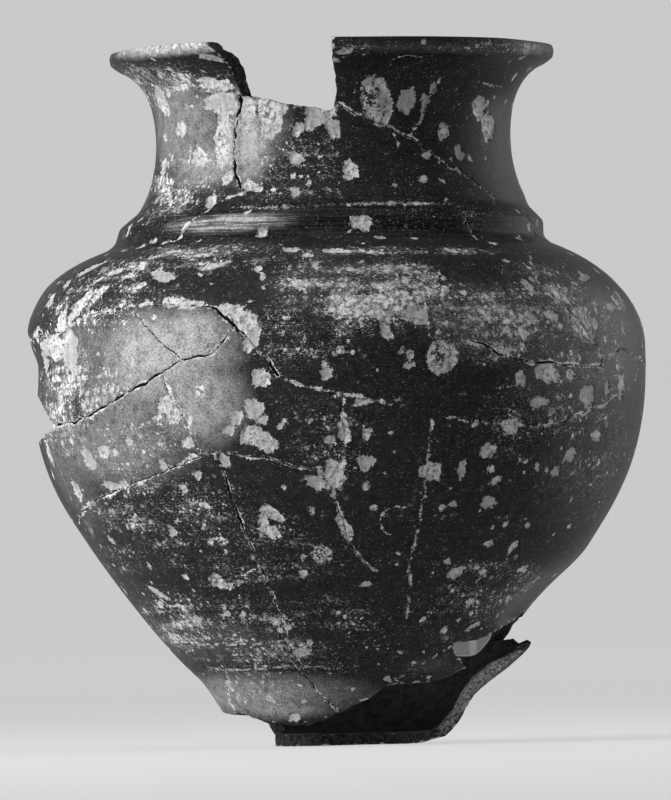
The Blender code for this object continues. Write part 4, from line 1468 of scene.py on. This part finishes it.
        # Painted light: within these limits of x, height and depth the broken clay is painted pale, as if
        # lit
        painted_lit_side = self.product(
            self.ramp(self.x, *LIT_FROM_X), self.ramp(self.z, *LIT_BELOW_Z),
            self.ramp(self.y, *LIT_BEFORE_Y),
        )
        grain = self.ramp(self.noise(self.place, 640.0, 5.0, 0.85), 0.42, 0.62)
        return self.blend(painted_lit_side, self.blend(grain, *PAINTED_SHADE_BROKEN_TONES), self.blend(grain, *PAINTED_LIT_BROKEN_TONES))

    def plaster(self):
        """The fill's grey: pale on the inside, with a painted highlight near white down a line and along its
        edge, and smeared on the outside.
        """
        pale = self.blend(self.noise(self.place, 260.0, 5.0, 0.7), *PLASTER_TONES)
        # Painted highlight: near white down a line and along the fill's edge, on the inside only
        distance_from_painted_highlight = self.math("ABSOLUTE", self.minus(self.x, PAINTED_FOLD_HIGHLIGHT_X))
        painted_fold_highlight = self.product(self.highest(self.ramp(distance_from_painted_highlight, *PAINTED_FOLD_HIGHLIGHT_WIDTH), self.painted_fill_edge_highlight), self.within)
        smeared = self.blend(self.ramp(self.tears, 0.38, 0.60), *SMEARED_TONES)
        return self.blend(self.within, smeared, self.blend(painted_fold_highlight, pale, PAINTED_FOLD_HIGHLIGHT_TONE))

    def finish(self, colour):
        """Colour, gloss and the relief that is too fine for the mesh."""
        matt = self.highest(
            self.flake, self.chalky, self.flecks, self.round_specks, self.crack, self.section, self.filled,
        )
        gloss = self.plus(self.strokes, 0.12, self.plus(self.haze, 0.16, 0.30))
        gloss = self.plus(self.within, 0.25, gloss)
        roughness = self.new("Mix")
        for socket, value in zip((0, 2, 3), (matt, gloss, MATT_ROUGHNESS)):
            self.link(value, roughness.inputs[socket])
        rough_places = self.highest(self.flake, self.chalky, self.section)
        height = self.product(rough_places, self.plus(self.grit, 1.6, -1.1))
        uneven = self.plus(self.grit, 0.20, self.product(self.jagged, 0.5))
        height = self.plus(uneven, self.plus(matt, 0.7, 0.3), height)
        bump = self.new("Bump", Strength=0.8, Distance=BUMP_HEIGHT, Height=height)
        inputs = self.shader.inputs
        self.link(colour, inputs["Base Color"])
        self.link(roughness.outputs[0], inputs["Roughness"])
        self.link(SLIP_SPECULAR, inputs["Specular IOR Level"])
        self.link(bump.outputs[0], inputs["Normal"])


def slip_material():
    """The jar's one material."""
    material = bpy.data.materials.new("burnished_slip")
    SlipNodes(material)
    return material


def plain_material(name, grey, roughness, glow):
    """An even matt material for what the jar stands on and before, as bright as a lit paper sweep."""
    material = bpy.data.materials.new(name)
    material.use_nodes = True
    shader = material.node_tree.nodes["Principled BSDF"]
    shader.inputs["Base Color"].default_value = (grey, grey, grey, 1.0)
    shader.inputs["Roughness"].default_value = roughness
    shader.inputs["Specular IOR Level"].default_value = 0.1
    shader.inputs["Emission Color"].default_value = (1.0, 1.0, 1.0, 1.0)
    shader.inputs["Emission Strength"].default_value = glow
    return material


def sweep():
    """A plain pale floor that curves up into the backdrop."""
    half_width = 14.0
    front = -14.0
    bend_start = 13.0
    bend = 2.0
    top = 9.0
    line = [(front, 0.0), (bend_start, 0.0)]
    for step in range(1, 17):
        turn = math.pi / 2 * step / 16
        line.append((bend_start + bend * math.sin(turn), bend - bend * math.cos(turn)))
    line.append((bend_start + bend, top))
    vertices = [(x, y, z) for y, z in line for x in (-half_width, half_width)]
    faces = [(2 * i, 2 * i + 1, 2 * i + 3, 2 * i + 2) for i in range(len(line) - 1)]
    mesh = bpy.data.meshes.new("sweep")
    mesh.from_pydata(vertices, [], faces)
    mesh.shade_smooth()
    made = bpy.data.objects.new("sweep", mesh)
    bpy.context.scene.collection.objects.link(made)
    mesh.materials.append(plain_material("pale_ground", *GROUND))


def soft_light(name, azimuth, elevation, distance, width, height, power):
    """A large soft light that looks at the jar's middle."""
    data = bpy.data.lights.new(name, "AREA")
    data.shape = "RECTANGLE"
    data.size = width
    data.size_y = height
    data.energy = power
    made = bpy.data.objects.new(name, data)
    bpy.context.scene.collection.objects.link(made)
    turn = math.radians(azimuth)
    rise = math.radians(elevation)
    middle = Vector((0.0, 0.0, HEIGHT / 2))
    away = Vector((math.sin(turn) * math.cos(rise), -math.cos(turn) * math.cos(rise), math.sin(rise)))
    made.location = middle + away * distance
    made.rotation_euler = away.to_track_quat("Z", "Y").to_euler()


def pointed_light(name, start, target, angle, power):
    """A narrow soft-edged light from one place at another."""
    data = bpy.data.lights.new(name, "SPOT")
    data.spot_size = math.radians(angle)
    data.spot_blend = 0.6
    data.shadow_soft_size = 0.02
    data.energy = power
    made = bpy.data.objects.new(name, data)
    bpy.context.scene.collection.objects.link(made)
    made.location = start
    made.rotation_euler = (Vector(start) - Vector(target)).to_track_quat("Z", "Y").to_euler()


def studio():
    """Key light from the left, weak ones from above and from the right, and an even pale surround."""
    pointed_light("into_break", *BREAK_LIGHT)
    for light in SOFT_LIGHTS:
        soft_light(*light)
    world = bpy.data.worlds.new("surround")
    world.use_nodes = True
    background = world.node_tree.nodes["Background"]
    background.inputs["Color"].default_value = (1.0, 1.0, 1.0, 1.0)
    background.inputs["Strength"].default_value = SURROUND
    bpy.context.scene.world = world
    bpy.context.scene.view_settings.view_transform = "Standard"


def main():
    """Dress the frame and light it."""
    camera = photo_camera()
    sweep()
    studio()
    vase = build_vase(camera)
    vase.data.materials.append(slip_material())
    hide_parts("vase")
    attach(vase, "root")


main()
